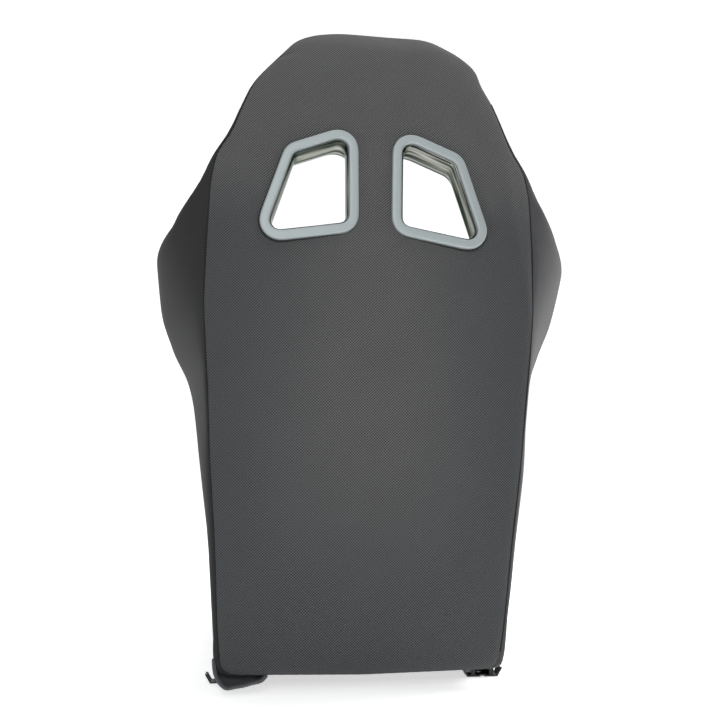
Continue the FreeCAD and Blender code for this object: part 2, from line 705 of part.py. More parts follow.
def riser(place, base_hoop):
    """Short box bracket between the upper rail and the base tube."""
    half_x = 12.0
    half_y = 18.0
    wall = 2.5
    top = base_tube_z(place) - TUBE_RADIUS + 5.0
    x_range = (RAIL_X - half_x, RAIL_X + half_x)
    y_range = (place - half_y, place + half_y)
    outer = block(x_range, y_range, (RAIL_TOP_Z, top))
    inner = block((x_range[0] + wall, x_range[1] - wall), (y_range[0] + wall, y_range[1] - wall),
                  (RAIL_TOP_Z + wall, top + 1.0))
    hole = Part.makeCylinder(M8_CLEARANCE_RADIUS, 12.0, vector(RAIL_X, place, 20.0))
    return outer.cut(inner).cut(hole).cut(base_hoop)


def hexagon(across_flats, height, x, y, z):
    """Hexagonal prism with two flats facing along X."""
    corner = across_flats / math.sqrt(3.0)
    points = [vector(x + corner * math.cos(math.radians(30 + 60 * step)),
                     y + corner * math.sin(math.radians(30 + 60 * step)), z) for step in range(6)]
    return extruded(points, vector(0, 0, height))


def rail_bolts():
    """Bolts that hold the risers to the upper rails, each with its washer."""
    solids = []
    for place in RISER_PLACES.values():
        floor = RAIL_TOP_Z + 2.5
        washer = Part.makeCylinder(8.0, 1.6, vector(RAIL_X, place, floor))
        washer = washer.cut(Part.makeCylinder(M8_RADIUS, 3.0, vector(RAIL_X, place, floor - 1.0)))
        shank = Part.makeCylinder(M8_RADIUS, floor + 1.6 - 15.5, vector(RAIL_X, place, 15.5))
        bolt = shank.fuse(hexagon(13.0, 5.3, RAIL_X, place, floor + 1.6)).removeSplitter()
        solids += [washer, bolt]
    return Part.makeCompound(solids + [mirrored(solid) for solid in solids])


def rail_nuts():
    """Nuts held between the walls of the upper rails."""
    nuts = []
    for place in RISER_PLACES.values():
        nut = hexagon(13.0, 6.5, RAIL_X, place, RAIL_TOP_Z - STEEL - 6.5)
        nuts.append(nut.cut(Part.makeCylinder(M8_RADIUS, 12.0, vector(RAIL_X, place, 14.0))))
    return Part.makeCompound(nuts + [mirrored(nut) for nut in nuts])


# ---- latch and release bar ------------------------------------------------------------------------
def latch_bracket():
    """Angle on the upper rail that carries the latch pivot pin."""
    y_range = (LATCH_PIVOT_Y - 12.0, LATCH_PIVOT_Y + 12.0)
    leg = block((155.4, 158.2), y_range, (18.2, 29.0))
    foot = block((155.4, RAIL_X + 5.0), y_range, (RAIL_TOP_Z, 29.0))
    hole = Part.makeCylinder(3.0, 10.0, vector(150.0, LATCH_PIVOT_Y, LATCH_PIVOT_Z), X_AXIS)
    return leg.fuse(foot).cut(hole).removeSplitter()


def latch_pin():
    pin = Part.makeCylinder(3.0, 16.2, vector(142.0, LATCH_PIVOT_Y, LATCH_PIVOT_Z), X_AXIS)
    head = Part.makeCylinder(5.0, 2.0, vector(140.0, LATCH_PIVOT_Y, LATCH_PIVOT_Z), X_AXIS)
    return pin.fuse(head).removeSplitter()


def latch_spring():
    """Torsion spring wound round the pivot pin, inside the latch plate."""
    coil_radius = 4.3
    wire_radius = 0.7
    helix = Part.makeHelix(2.0, 6.0, coil_radius)
    section = Part.Wire(Part.makeCircle(wire_radius, vector(coil_radius, 0, 0), Y_AXIS))
    spring = Part.Wire(helix).makePipeShell([section], True, True)
    spring.rotate(ORIGIN, Y_AXIS, 90.0)
    spring.translate(vector(143.2, LATCH_PIVOT_Y, LATCH_PIVOT_Z))
    return spring


def latch_plate():
    """Plate with three teeth that drop into the rack; the bar joins its front end."""
    low_x = LATCH_X - LATCH_THICKNESS / 2.0
    rear_end = LATCH_PIVOT_Y + 8.0
    front_end = BAR_JOINT_Y
    low_z = 18.6
    high_z = 28.0
    thickness = (low_x, low_x + LATCH_THICKNESS)
    plate = block(thickness, (front_end, rear_end), (low_z, high_z))
    for place in TOOTH_PLACES:
        plate = plate.fuse(block(thickness, (place - 2.1, place + 2.1), (13.0, low_z)))
    hole = Part.makeCylinder(3.05, 10.0, vector(low_x - 3.0, LATCH_PIVOT_Y, LATCH_PIVOT_Z), X_AXIS)
    return plate.cut(hole).removeSplitter()


def release_bar():
    """Bent bar under the front of the seat that lifts both latch plates."""
    points = [vector(LATCH_X, BAR_JOINT_Y, LATCH_PIVOT_Z), vector(LATCH_X, -180.0, LATCH_PIVOT_Z),
              vector(LATCH_X, BAR_FRONT_Y, BAR_FRONT_Z)]
    points += [vector(-point.x, point.y, point.z) for point in reversed(points)]
    return bar_along(points, BAR_BEND, BAR_RADIUS)


def bar_grip():
    """Ribbed sleeve on the middle of the release bar."""
    start = vector(-60.0, BAR_FRONT_Y, BAR_FRONT_Z)
    grip = Part.makeCylinder(8.0, 120.0, start, X_AXIS)
    for index in range(11):
        place = -50.0 + 10.0 * index
        ring = Part.makeCylinder(9.0, 4.0, vector(place - 2.0, BAR_FRONT_Y, BAR_FRONT_Z), X_AXIS)
        grip = grip.fuse(ring)
    bore = Part.makeCylinder(BAR_RADIUS, 130.0, vector(-65.0, BAR_FRONT_Y, BAR_FRONT_Z), X_AXIS)
    return grip.cut(bore).removeSplitter()


# ---- assembly --------------------------------------------------------------------------------------
def frame_parts():
    back_bar = back_hoop_bar()
    base_bar = base_hoop_bar()
    parts = {"back_hoop_tube": back_hoop_tube(),
             "base_hoop_tube": base_hoop_tube(back_bar),
             "base_rear_tube": base_cross_tube(150.0, base_bar),
             "base_middle_tube": base_cross_tube(-96.0, base_bar),
             "back_webbing": back_webbing(),
             "seat_webbing": seat_webbing()}
    for name, height in CROSS_TUBE_HEIGHTS.items():
        parts[name] = cross_tube(height, back_bar)
    for side, shape in both_sides(wing_rod(ROD_RADIUS).cut(back_bar)).items():
        parts["wing_rod_" + side] = shape
    for side, shape in both_sides(thigh_rod(ROD_RADIUS).cut(base_bar)).items():
        parts["thigh_rod_" + side] = shape
    for end, place in RISER_PLACES.items():
        for side, shape in both_sides(riser(place, base_bar)).items():
            parts["riser_" + end + "_" + side] = shape
    return parts


def soft_parts():
    parts = {"back_pad": back_pad(),
             "head_top_pad": head_top_pad(),
             "seat_cushion": seat_cushion(),
             "rear_cover": rear_cover(),
             "base_skirt": base_skirt()}
    for side, shape in both_sides(side_bolster()).items():
        parts["side_bolster_" + side] = shape
    for side, shape in both_sides(thigh_bolster()).items():
        parts["thigh_bolster_" + side] = shape
    return parts


def trim_parts():
    parts = {"strap_slot_bezel": strap_slot_bezel()}
    for side, shape in both_sides(rear_bezel()).items():
        parts["rear_bezel_" + side] = shape
    for side, shape in both_sides(front_bezel()).items():
        parts["front_bezel_" + side] = shape
    return parts


def rail_parts():
    parts = {"rail_glides": rail_glides(),
             "rail_end_stops": rail_end_stops(),
             "rail_bolts": rail_bolts(),
             "rail_nuts": rail_nuts(),
             "release_bar": release_bar(),
             "bar_grip": bar_grip()}
    makers = {"lower_rail_": lower_rail, "upper_rail_": upper_rail, "lock_rack_": lock_rack,
              "latch_bracket_": latch_bracket, "latch_pin_": latch_pin, "latch_spring_": latch_spring,
              "latch_plate_": latch_plate}
    for prefix, maker in makers.items():
        for side, shape in both_sides(maker()).items():
            parts[prefix + side] = shape
    return parts


def main():
    os.makedirs("parts", exist_ok=True)
    for group in (frame_parts(), soft_parts(), trim_parts(), rail_parts()):
        for name, shape in group.items():
            shape.exportStep("parts/" + name + ".step")


main()
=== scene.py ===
import bmesh
import bpy
import json
import math
import numpy as np
from mathutils import Matrix, Vector

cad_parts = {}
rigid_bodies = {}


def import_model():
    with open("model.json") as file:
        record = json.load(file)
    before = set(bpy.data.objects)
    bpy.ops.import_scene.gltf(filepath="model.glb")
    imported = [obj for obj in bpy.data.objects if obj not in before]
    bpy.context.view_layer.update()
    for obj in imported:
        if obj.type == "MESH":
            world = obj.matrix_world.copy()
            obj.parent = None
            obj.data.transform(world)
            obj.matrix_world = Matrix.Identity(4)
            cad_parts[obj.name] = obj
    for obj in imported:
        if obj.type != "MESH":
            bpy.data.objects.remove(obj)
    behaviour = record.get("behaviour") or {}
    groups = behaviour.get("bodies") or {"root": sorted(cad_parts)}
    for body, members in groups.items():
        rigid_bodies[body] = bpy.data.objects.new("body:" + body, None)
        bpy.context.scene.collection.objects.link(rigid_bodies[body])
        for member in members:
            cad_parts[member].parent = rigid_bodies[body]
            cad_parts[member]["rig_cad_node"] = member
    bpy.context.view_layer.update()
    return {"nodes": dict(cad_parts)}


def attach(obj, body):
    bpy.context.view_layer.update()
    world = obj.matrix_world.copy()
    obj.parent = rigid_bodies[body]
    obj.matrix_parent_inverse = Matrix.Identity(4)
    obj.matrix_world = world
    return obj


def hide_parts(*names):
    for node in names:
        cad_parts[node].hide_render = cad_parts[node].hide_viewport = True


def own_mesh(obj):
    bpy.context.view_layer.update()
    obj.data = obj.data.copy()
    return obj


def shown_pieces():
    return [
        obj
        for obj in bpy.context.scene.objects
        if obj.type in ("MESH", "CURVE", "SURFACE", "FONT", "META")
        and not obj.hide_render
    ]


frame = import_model()

# Racing seat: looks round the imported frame.  Lengths are millimetres until a mesh is made.
# The seat faces -Y, +X is the occupant's left and +Z is up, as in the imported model.
MM = 0.001
SIDES = {"left": 1.0, "right": -1.0}

# ---- the back ----
# Height and place of the rear face's middle line.
REAR_PROFILE = [(15, 213.5), (25, 216), (150, 243), (300, 271), (450, 290), (600, 297), (720, 294),
                (800, 285), (860, 272), (900, 251)]
# How far the rear face falls from its middle line to its side, and how deep the seam lies there by height.
CROWN = 9.0
CROWN_HALF_WIDTH = 215.0
SEAM_DEPTH = [(20, 3.5), (600, 3.5), (700, 5), (860, 5), (900, 4)]
# Rear panel: heights of its lower and upper corners, and by height the width of its rolled edge.
PANEL_CORNERS = (30, 862)
PANEL_ROLL = [(25, 15), (620, 15), (700, 36), (900, 40)]
COVER_THICKNESS = 3.0
HEM_HEIGHT = 22.0
# The back pad's thickness in front of the rear face, by height.
PAD_DEPTH = [(25, 80), (520, 80), (580, 66), (715, 66), (770, 84), (850, 86), (900, 74)]
# Rim stations: rear seam, widest line, front crest and inner seam, each as x, y, z.  The rear seam's y is
# then set from the panel that it borders.
RIM_STATIONS = [
    ((148, 209, 23.5), (148, 204, 22.8), (148, 186, 24), (148, 182, 27)),
    ((167, 211, 25.0), (171, 204, 22.8), (168, 180, 26), (161, 174, 32)),
    ((180, 213, 34), (186, 204, 28), (183, 170, 32), (176, 165, 40)),
    ((183, 217, 55), (191, 207, 52), (188, 168, 52), (183, 161, 56)),
    ((185, 220, 75), (192, 212, 75), (190, 168, 75), (184, 161, 75)),
    ((190, 243, 160), (198, 222, 160), (195, 167, 160), (184, 182, 160)),
    ((201, 262, 300), (218, 212, 300), (209, 160, 300), (184, 205, 300)),
    ((205, 270, 360), (229, 192, 360), (217, 132, 360), (184, 214, 360)),
    ((208, 276, 400), (243, 158, 400), (229, 102, 400), (184, 220, 400)),
    ((212, 281, 450), (270, 138, 450), (249, 88, 450), (184, 224, 450)),
    ((215, 286, 500), (286, 158, 500), (260, 98, 500), (184, 228, 500)),
    ((215, 287, 555), (290, 192, 555), (262, 121, 555), (184, 239, 555)),
    ((214, 287, 600), (259, 258, 600), (241, 158, 600), (184, 243, 600)),
    ((213, 287, 640), (231, 279, 640), (219, 190, 640), (179, 243, 640)),
    ((208, 283, 680), (214, 279, 680), (204, 209, 680), (173, 241, 680)),
    ((189, 283, 720), (193, 281, 720), (183, 213, 720), (166, 236, 720)),
    ((175, 277, 760), (178, 273, 760), (174, 208, 760), (160, 224, 760)),
    ((164, 271, 790), (167, 270, 790), (162, 202, 790), (150, 216, 790)),
    ((148, 266, 820), (150, 267, 819), (145, 197, 817), (132, 208, 810)),
    ((135, 263, 844), (137, 262, 845), (131, 193, 842), (114, 202, 828)),
    ((107, 260, 873), (109, 255, 874.5), (105, 191, 870), (92, 196, 850)),
    ((70, 256, 890.5), (71, 248, 892.5), (68, 190, 887.5), (60, 191, 867)),
    ((34, 254, 895.5), (34, 246, 898), (34, 190, 892.5), (30, 189, 872)),
    ((0, 254, 896), (0, 245, 898.5), (0, 190, 893), (0, 188, 873)),
]
# Left harness slot: its corners as x and z, their radius, and its plane's lean about a height.
SLOT_CORNERS = [(37.0, 598.0), (139.0, 580.5), (106.0, 687.0), (38.5, 714.5)]
SLOT_RADIUS = 11.0
SLOT_LEAN = math.radians(1.1)
SLOT_PIVOT = 648.0
# How far beyond the slot's outline the cover is cut, sinks, and the pad is cut and held down.
COVER_CUT = 8.0
COVER_SINK = 17.0
PAD_CUT = 18.0
PAD_HELD = 27.0
# Soft folds of the rear cover: from and to as x and z, width, and height or depth.
REAR_FOLDS = [((197, 520), (180, 700), 9, 3.0), ((-197, 540), (-178, 700), 9, 2.6),
              ((208, 470), (203, 560), 6, 1.0), ((-208, 470), (-203, 560), 6, 1.0),
              ((150, 838), (112, 846), 5, -2.2), ((-168, 640), (-150, 590), 8, -2.0),
              ((60, 470), (110, 500), 26, 0.8), ((-90, 330), (-30, 350), 34, 0.9),
              ((90, 250), (20, 230), 32, 0.8), ((-150, 130), (-60, 105), 24, 0.8)]
# Slot trims as closed profiles of growth from the slot's outline and place.
REAR_BEZEL = [(13.0, 287.5), (15.4, 288.5), (15.8, 294.8), (15.5, 296.9), (14.6, 298.0), (12.8, 298.4),
              (9.0, 298.5), (5.2, 298.5), (3.6, 298.2), (2.9, 297.2), (2.3, 294.0), (2.2, 290.0),
              (4.0, 287.0)]
# The lip is a near-black ring just outside the bezel that stands in for the shadow gap round it: painted
# shadow.
REAR_LIP = [(14.6, 286.5), (17.2, 287.5), (17.6, 291.6), (16.7, 293.4), (15.4, 293.6), (14.4, 290.0)]
SLEEVE = [(2.4, 292.4), (2.2, 294.6), (1.2, 294.9), (0.5, 293.4), (0.1, 291.0), (0.0, 284.0), (0.0, 272.0),
          (0.2, 264.0), (2.2, 257.5), (7.0, 246.0), (12.6, 233.0), (13.6, 227.0), (15.0, 224.0),
          (17.4, 223.0), (22.0, 223.1), (24.6, 224.2), (25.9, 226.6), (25.6, 229.8), (21.0, 231.0),
          (15.8, 231.5), (9.0, 247.0), (4.2, 258.0), (2.0, 265.0), (2.0, 290.0)]
# The back pad's rolled edge and its seams.
PAD_SIDE_SEAM = 118.0
PAD_CHANNELS_TOP = 560.0
PAD_ROLL = 22.0
CHANNEL_HEIGHTS = [200, 262, 324, 386, 448, 510]
HEADREST_SEAM = 735.0
# The rims: heights between which their inner faces are red, the crest's column in the grid, and by height
# how full the rear corner is and how far the inner corner moves towards the crest.
WING_RED = (285, 640)
RIM_CREST = 24
RIM_FULLNESS = [(0, 1.7), (250, 1.6), (340, 1.15), (470, 1.2), (560, 1.5), (900, 1.7)]
RIM_PINCH = [(0, 0), (300, 0), (420, 0.35), (600, 0.35), (680, 0), (900, 0)]
# The head's cover: shift towards -X with its middle height and width, and lift of its -X corner with x and
# width.
HEAD_SHIFT = 8.5
HEAD_SHIFT_HEIGHTS = (848.0, 28.0)
HEAD_LIFT = 5.0
HEAD_LIFT_PLACES = (-80.0, 30.0)

# Loose flap under the hem's left end, each by share of its length: x, the lip's y and z, the root's z.
FLAP_X = [(0, 190), (0.1, 187), (0.3, 173), (0.6, 151), (0.92, 128), (1, 122)]
FLAP_LIP_Y = [(0, 209), (0.1, 213), (0.3, 217), (0.5, 216), (1, 211)]
FLAP_LIP_Z = [(0, 44), (0.08, 29), (0.2, 16), (0.34, 10.5), (0.5, 12.5), (0.7, 14.5), (0.9, 17), (1, 23)]
FLAP_ROOT_Z = [(0, 44), (0.15, 31), (1, 25)]

# ---- the base ----
# Cushion: half width, profile from its lower front over its top to the back as y and z, and its seams.
CUSHION_HALF = 148.0
CUSHION_PROFILE = [(-291, 112), (-297.5, 140), (-299.4, 168), (-297, 196), (-289, 217), (-275, 229.5),
                   (-255, 235), (-190, 228.5), (-120, 220.5), (-40, 211.5), (40, 202.5), (110, 194.5),
                   (150, 189), (157, 184)]
CUSHION_CHANNELS = [-222, -168, -114, -8, 46, 100]
CUSHION_SIDE_SEAM = 106.0
# Strap slot: middle x and y, length and width; then its ring's growth and height over the cushion.
STRAP_SLOT = (0.0, -62.0, 76.0, 26.0)
STRAP_RING = [(5.6, 3.0), (7.2, 3.6), (7.4, 5.2), (6.0, 6.6), (3.6, 7.0), (1.6, 6.4), (0.4, 4.6), (0.0, 1.0),
              (0.0, -60.0), (0.0, -118.0), (2.0, -118.0), (2.0, -60.0), (2.2, 0.0), (4.4, 1.0)]
# Thigh pad stations: y, outer half width, top, inner top, bottom.
THIGH_STATIONS = [
    (162.5, 191.5, 268, 182, 84), (144, 193, 273, 186, 84), (-40, 205.5, 271, 206, 92),
    (-200, 217, 267, 226, 102), (-245, 220, 261, 228, 105), (-270, 219.5, 247, 222, 107),
    (-286, 216, 223, 206, 109), (-295, 209, 196, 186, 112), (-298.5, 201, 166, 160, 118),
]
THIGH_INNER = 149.6
# Columns of a section's points: where the crest is, and how many belong to the visible skin.
THIGH_CREST = 22
THIGH_SKIN = 36
# Skirt round the base, from its rear end to the middle of the front, as x and y: side, corner with its
# middle and two radii, and front.  Then the heights of its hem and its seam from y.
SKIRT_SIDE = [(188, 190), (192, 140), (197.5, 60), (204.5, -40), (211, -140), (218, -238)]
SKIRT_CORNER = (173, -241, 45, 46)
SKIRT_FRONT = [(172, -287), (90, -287.5), (0, -287.5)]
SKIRT_HEM = [(-300, 80), (-150, 26), (150, 26), (172, 32), (190, 48)]
SKIRT_SEAM = [(-300, 110), (204, 76)]

# ---- cloth simulation: pressure, and the furthest that a point may move ----
RIM_PUFF = (3.0, 2.2)
PAD_PUFF = (60.0, 5.0)
CUSHION_PUFF = (220.0, 6.0)
PUFF_FRAMES = 12

# ---- CAD nodes that stay, by the start of their names ----
KEPT_LOOKS = {
    "frame_paint": ["back_hoop_tube", "base_hoop_tube", "base_rear_tube", "base_middle_tube",
                    "lumbar_cross_tube", "shoulder_cross_tube", "neck_cross_tube", "wing_rod_", "thigh_rod_",
                    "riser_"],
    "webbing": ["back_webbing", "seat_webbing"],
    "steel": ["lower_rail_", "upper_rail_", "rail_end_stops"],
    "black_steel": ["release_bar", "latch_plate_", "lock_rack_", "latch_bracket_"],
    "zinc": ["rail_bolts", "rail_nuts", "latch_pin_", "latch_spring_"],
    "nylon": ["rail_glides"],
    "rubber": ["bar_grip"],
}

# ---- camera and lights, in metres ----
CAMERA_PLACE = (0.1257, 1.1556, 0.2708)
CAMERA_YAW = 0.1243
CAMERA_PITCH = 0.1662
CAMERA_ROLL = 0.0098
CAMERA_LENS = 35.0
WHITE = (1.0, 1.0, 1.0)
# Each light: name, place, target, side, power in watts, tint.
LIGHTS = [("front_soft", (0.5, 2.4, 1.5), (0, 0.2, 0.5), 1.2, 17.0, WHITE),
          ("side_soft", (-2.5, -0.4, 1.6), (-0.2, 0.1, 0.5), 1.0, 64.0, (1.0, 0.985, 0.96)),
          ("top_soft", (-0.3, 0.3, 2.4), (0, 0.15, 0.9), 1.2, 16.0, WHITE)]
WORLD_COLOR = (0.93, 0.97, 1.0, 1)
WORLD_STRENGTH = 0.28
FLOOR_GLOW = 0.62


# ---- curves and grids ----
def slopes(x, y):
    """Monotone cubic slopes, so that a curve through measured points doesn't overshoot."""
    step = np.diff(x)
    rise = np.diff(y, axis=0) / step[:, None]
    inner = np.zeros_like(y)
    same = rise[:-1] * rise[1:] > 0
    harmonic = 2 * rise[:-1] * rise[1:] / np.where(same, rise[:-1] + rise[1:], 1)
    inner[1:-1] = np.where(same, harmonic, 0)
    inner[0] = rise[0]
    inner[-1] = rise[-1]
    return inner


def curve(table_x, table_y, x):
    """Smooth values at x through the rows of a table."""
    table_x = np.asarray(table_x, float)
    table_y = np.asarray(table_y, float)
    flat = table_y.ndim == 1
    rows = table_y[:, None] if flat else table_y
    tangent = slopes(table_x, rows)
    x = np.clip(np.asarray(x, float), table_x[0], table_x[-1])
    index = np.clip(np.searchsorted(table_x, x, side="right") - 1, 0, len(table_x) - 2)
    width = table_x[index + 1] - table_x[index]
    t = ((x - table_x[index]) / width)[..., None]
    width = width[..., None]
    value = ((2 * t ** 3 - 3 * t ** 2 + 1) * rows[index] + (t ** 3 - 2 * t ** 2 + t) * width * tangent[index]
             + (3 * t ** 2 - 2 * t ** 3) * rows[index + 1] + (t ** 3 - t ** 2) * width * tangent[index + 1])
    return value[..., 0] if flat else value


def bell(x, middle, width):
    """1 at the middle, fading to 0 on both sides."""
    return np.exp(-((x - middle) / width) ** 2)


def looked_up(table, x):
    """Smooth values at x from a table of pairs."""
    return curve(*zip(*table), x)


def travelled(line):
    """Distance along a polyline at each of its points."""
    return np.concatenate([[0], np.cumsum(np.linalg.norm(np.diff(line, axis=0), axis=1))])


def closed(loop):
    """The loop with its first point repeated at the end."""
    return np.concatenate([loop, loop[:1]])


def resampled(points, count):
    """The same polyline with count points at even distances."""
    points = np.asarray(points, float)
    along = travelled(points)
    places = np.linspace(0, along[-1], count)
    return np.stack([np.interp(places, along, points[:, axis]) for axis in range(points.shape[1])], axis=1)


def turn(start, corner, end, count, power):
    """Superellipse quarter from start towards corner, then into end; each is rows of points."""
    angle = np.linspace(0, math.pi / 2, count)
    power = np.reshape(power, (-1, 1, 1))
    out = np.sin(angle)[None, :, None] ** (2 / power)
    back = 1 - np.cos(angle)[None, :, None] ** (2 / power)
    return start[:, None] + (corner - start)[:, None] * out + (end - corner)[:, None] * back


def straight(start, end, count):
    """Rows of points on straight lines from start to end."""
    t = np.linspace(0, 1, count)[None, :, None]
    return start[:, None] * (1 - t) + end[:, None] * t


def grid_normals(points):
    """Unit normal at each point of a grid."""
    along = np.gradient(points, axis=0)
    across = np.gradient(points, axis=1)
    normal = np.cross(across, along)
    return normal / np.maximum(np.linalg.norm(normal, axis=2, keepdims=True), 1e-9)


def grid_lengths(points):
    """Cloth coordinates of a grid in metres: across and along, measured on its middle lines."""
    rows, columns = points.shape[:2]
    widths = np.linalg.norm(np.diff(points, axis=1), axis=2)
    across = np.concatenate([np.zeros((rows, 1)), np.cumsum(widths, axis=1)], axis=1)
    across -= across[:, columns // 2][:, None]
    heights = np.linalg.norm(np.diff(points, axis=0), axis=2)
    middle = heights[:, columns // 2]
    along = np.concatenate([[0], np.cumsum(middle)])[:, None] * np.ones((1, columns))
    return np.stack([across, along], axis=2) * MM


def height_map(points):
    """Cloth coordinates of a panel of the back, in metres: x, and the length up its middle."""
    middle = points[:, points.shape[1] // 2]
    up = np.interp(points[..., 2], middle[:, 2], travelled(middle))
    return np.stack([points[..., 0], up], axis=2) * MM


# ---- meshes ----
def make_object(name, vertices, faces, uvs=None, face_material=None):
    """A smooth-shaded mesh object from millimetre vertices; uvs are per vertex."""
    mesh = bpy.data.meshes.new(name)
    mesh.from_pydata((np.asarray(vertices, float) * MM).tolist(), [], [tuple(face) for face in faces])
    mesh.validate()
    if uvs is not None:
        layer = mesh.uv_layers.new(name="cloth")
        corners = np.zeros(len(mesh.loops), int)
        mesh.loops.foreach_get("vertex_index", corners)
        layer.data.foreach_set("uv", np.asarray(uvs, np.float32)[corners].ravel())
    if face_material is not None:
        mesh.polygons.foreach_set("material_index", np.asarray(face_material, np.int32))
    mesh.polygons.foreach_set("use_smooth", np.ones(len(mesh.polygons), bool))
    clean(mesh)
    piece = bpy.data.objects.new(name, mesh)
    bpy.context.scene.collection.objects.link(piece)
    return piece


def clean(mesh):
    """Removes loose vertices and turns every face outwards."""
    work = bmesh.new()
    work.from_mesh(mesh)
    loose = [vertex for vertex in work.verts if not vertex.link_faces]
    bmesh.ops.delete(work, geom=loose, context="VERTS")
    bmesh.ops.recalc_face_normals(work, faces=work.faces)
    work.to_mesh(mesh)
    work.free()
    mesh.update()


def quads(rows, columns, wrap_rows=False, wrap_columns=False):
    """Faces between the neighbours in a grid of vertices, as a sheet, a tube or a ring."""
    faces = []
    for row in range(rows if wrap_rows else rows - 1):
        below = (row + 1) % rows * columns
        for column in range(columns if wrap_columns else columns - 1):
            after = (column + 1) % columns
            faces.append((row * columns + column, row * columns + after, below + after, below + column))
    return faces


def closed_sweep(name, loops, material_of=None):
    """Closed body from rows of closed loops; material_of gives a face's material from (row, column)."""
    rows, columns = loops.shape[:2]
    material_of = material_of or (lambda row, column: 0)
    faces = quads(rows, columns, wrap_columns=True)
    materials = [material_of(row, column) for row in range(rows - 1) for column in range(columns)]
    vertices = loops.reshape(-1, 3)
    uv = grid_lengths(loops).reshape(-1, 2)
    for row in (0, rows - 1):
        centre = len(vertices)
        vertices = np.concatenate([vertices, loops[row].mean(axis=0)[None]])
        uv = np.concatenate([uv, uv[row * columns][None]])
        for column in range(columns):
            faces.append((row * columns + column, row * columns + (column + 1) % columns, centre))
            materials.append(material_of(max(row - 1, 0), column))
    return make_object(name, vertices, faces, uv, materials)


def ring(name, loops):
    """Smooth ring from closed loops that follow one another round its section."""
    faces = quads(*loops.shape[:2], wrap_rows=True, wrap_columns=True)
    piece = make_object(name, loops.reshape(-1, 3), faces)
    subdivide(piece)
    return piece


def slab(name, front, back, keep=None, cloth_map=grid_lengths):
    """Closed body between two matching grids, open where keep is false."""
    rows, columns = front.shape[:2]
    keep = np.ones((rows - 1, columns - 1), bool) if keep is None else keep
    size = rows * columns
    border = {}
    faces = []
    for row, column in zip(*np.nonzero(keep)):
        a = row * columns + column
        quad = (a, a + 1, a + columns + 1, a + columns)
        faces += [quad, tuple(index + size for index in quad[::-1])]
        for start, end in zip(quad, quad[1:] + quad[:1]):
            if border.pop((end, start), None) is None:
                border[(start, end)] = True
    for start, end in border:
        faces.append((end, start, start + size, end + size))
    uv = cloth_map(front).reshape(-1, 2)
    vertices = np.concatenate([front.reshape(-1, 3), back.reshape(-1, 3)])
    return make_object(name, vertices, faces, np.concatenate([uv, uv]))


def subdivide(piece):
    """Replaces the mesh by its smooth subdivision."""
    modifier = piece.modifiers.new("smooth", "SUBSURF")
    modifier.levels = 1
    modifier.render_levels = 1
    bpy.context.view_layer.update()
    depsgraph = bpy.context.evaluated_depsgraph_get()
    mesh = bpy.data.meshes.new_from_object(piece.evaluated_get(depsgraph))
    old = piece.data
    piece.modifiers.clear()
    piece.data = mesh
    bpy.data.meshes.remove(old)
    mesh.name = piece.name


def coordinates(mesh):
    """The mesh's vertices as rows, in metres."""
    flat = np.zeros(len(mesh.vertices) * 3)
    mesh.vertices.foreach_get("co", flat)
    return flat.reshape(-1, 3)


def mirror_copy(piece, name):
    """The same piece on the other side of the seat."""
    twin = piece.copy()
    twin.data = piece.data.copy()
    twin.name = name
    twin.data.name = name
    bpy.context.scene.collection.objects.link(twin)
    values = coordinates(twin.data)
    values[:, 0] *= -1
    twin.data.vertices.foreach_set("co", values.ravel())
    twin.data.update()
    twin.data.flip_normals()
    return twin


def place(piece, body, slot, *nodes):
    """Every piece rides on a body and stands for its CAD nodes, which it hides; slot is not used."""
    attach(piece, body)
    if nodes:
        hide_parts(*nodes)
    return piece


def dress(piece, *materials):
    """Gives a piece its materials; its faces keep the place of theirs in the list."""
    mesh = piece.data
    used = np.zeros(len(mesh.polygons), np.int32)
    mesh.polygons.foreach_get("material_index", used)
    mesh.materials.clear()
    for material in materials:
        mesh.materials.append(material)
    mesh.polygons.foreach_set("material_index", np.minimum(used, len(materials) - 1))
    return piece


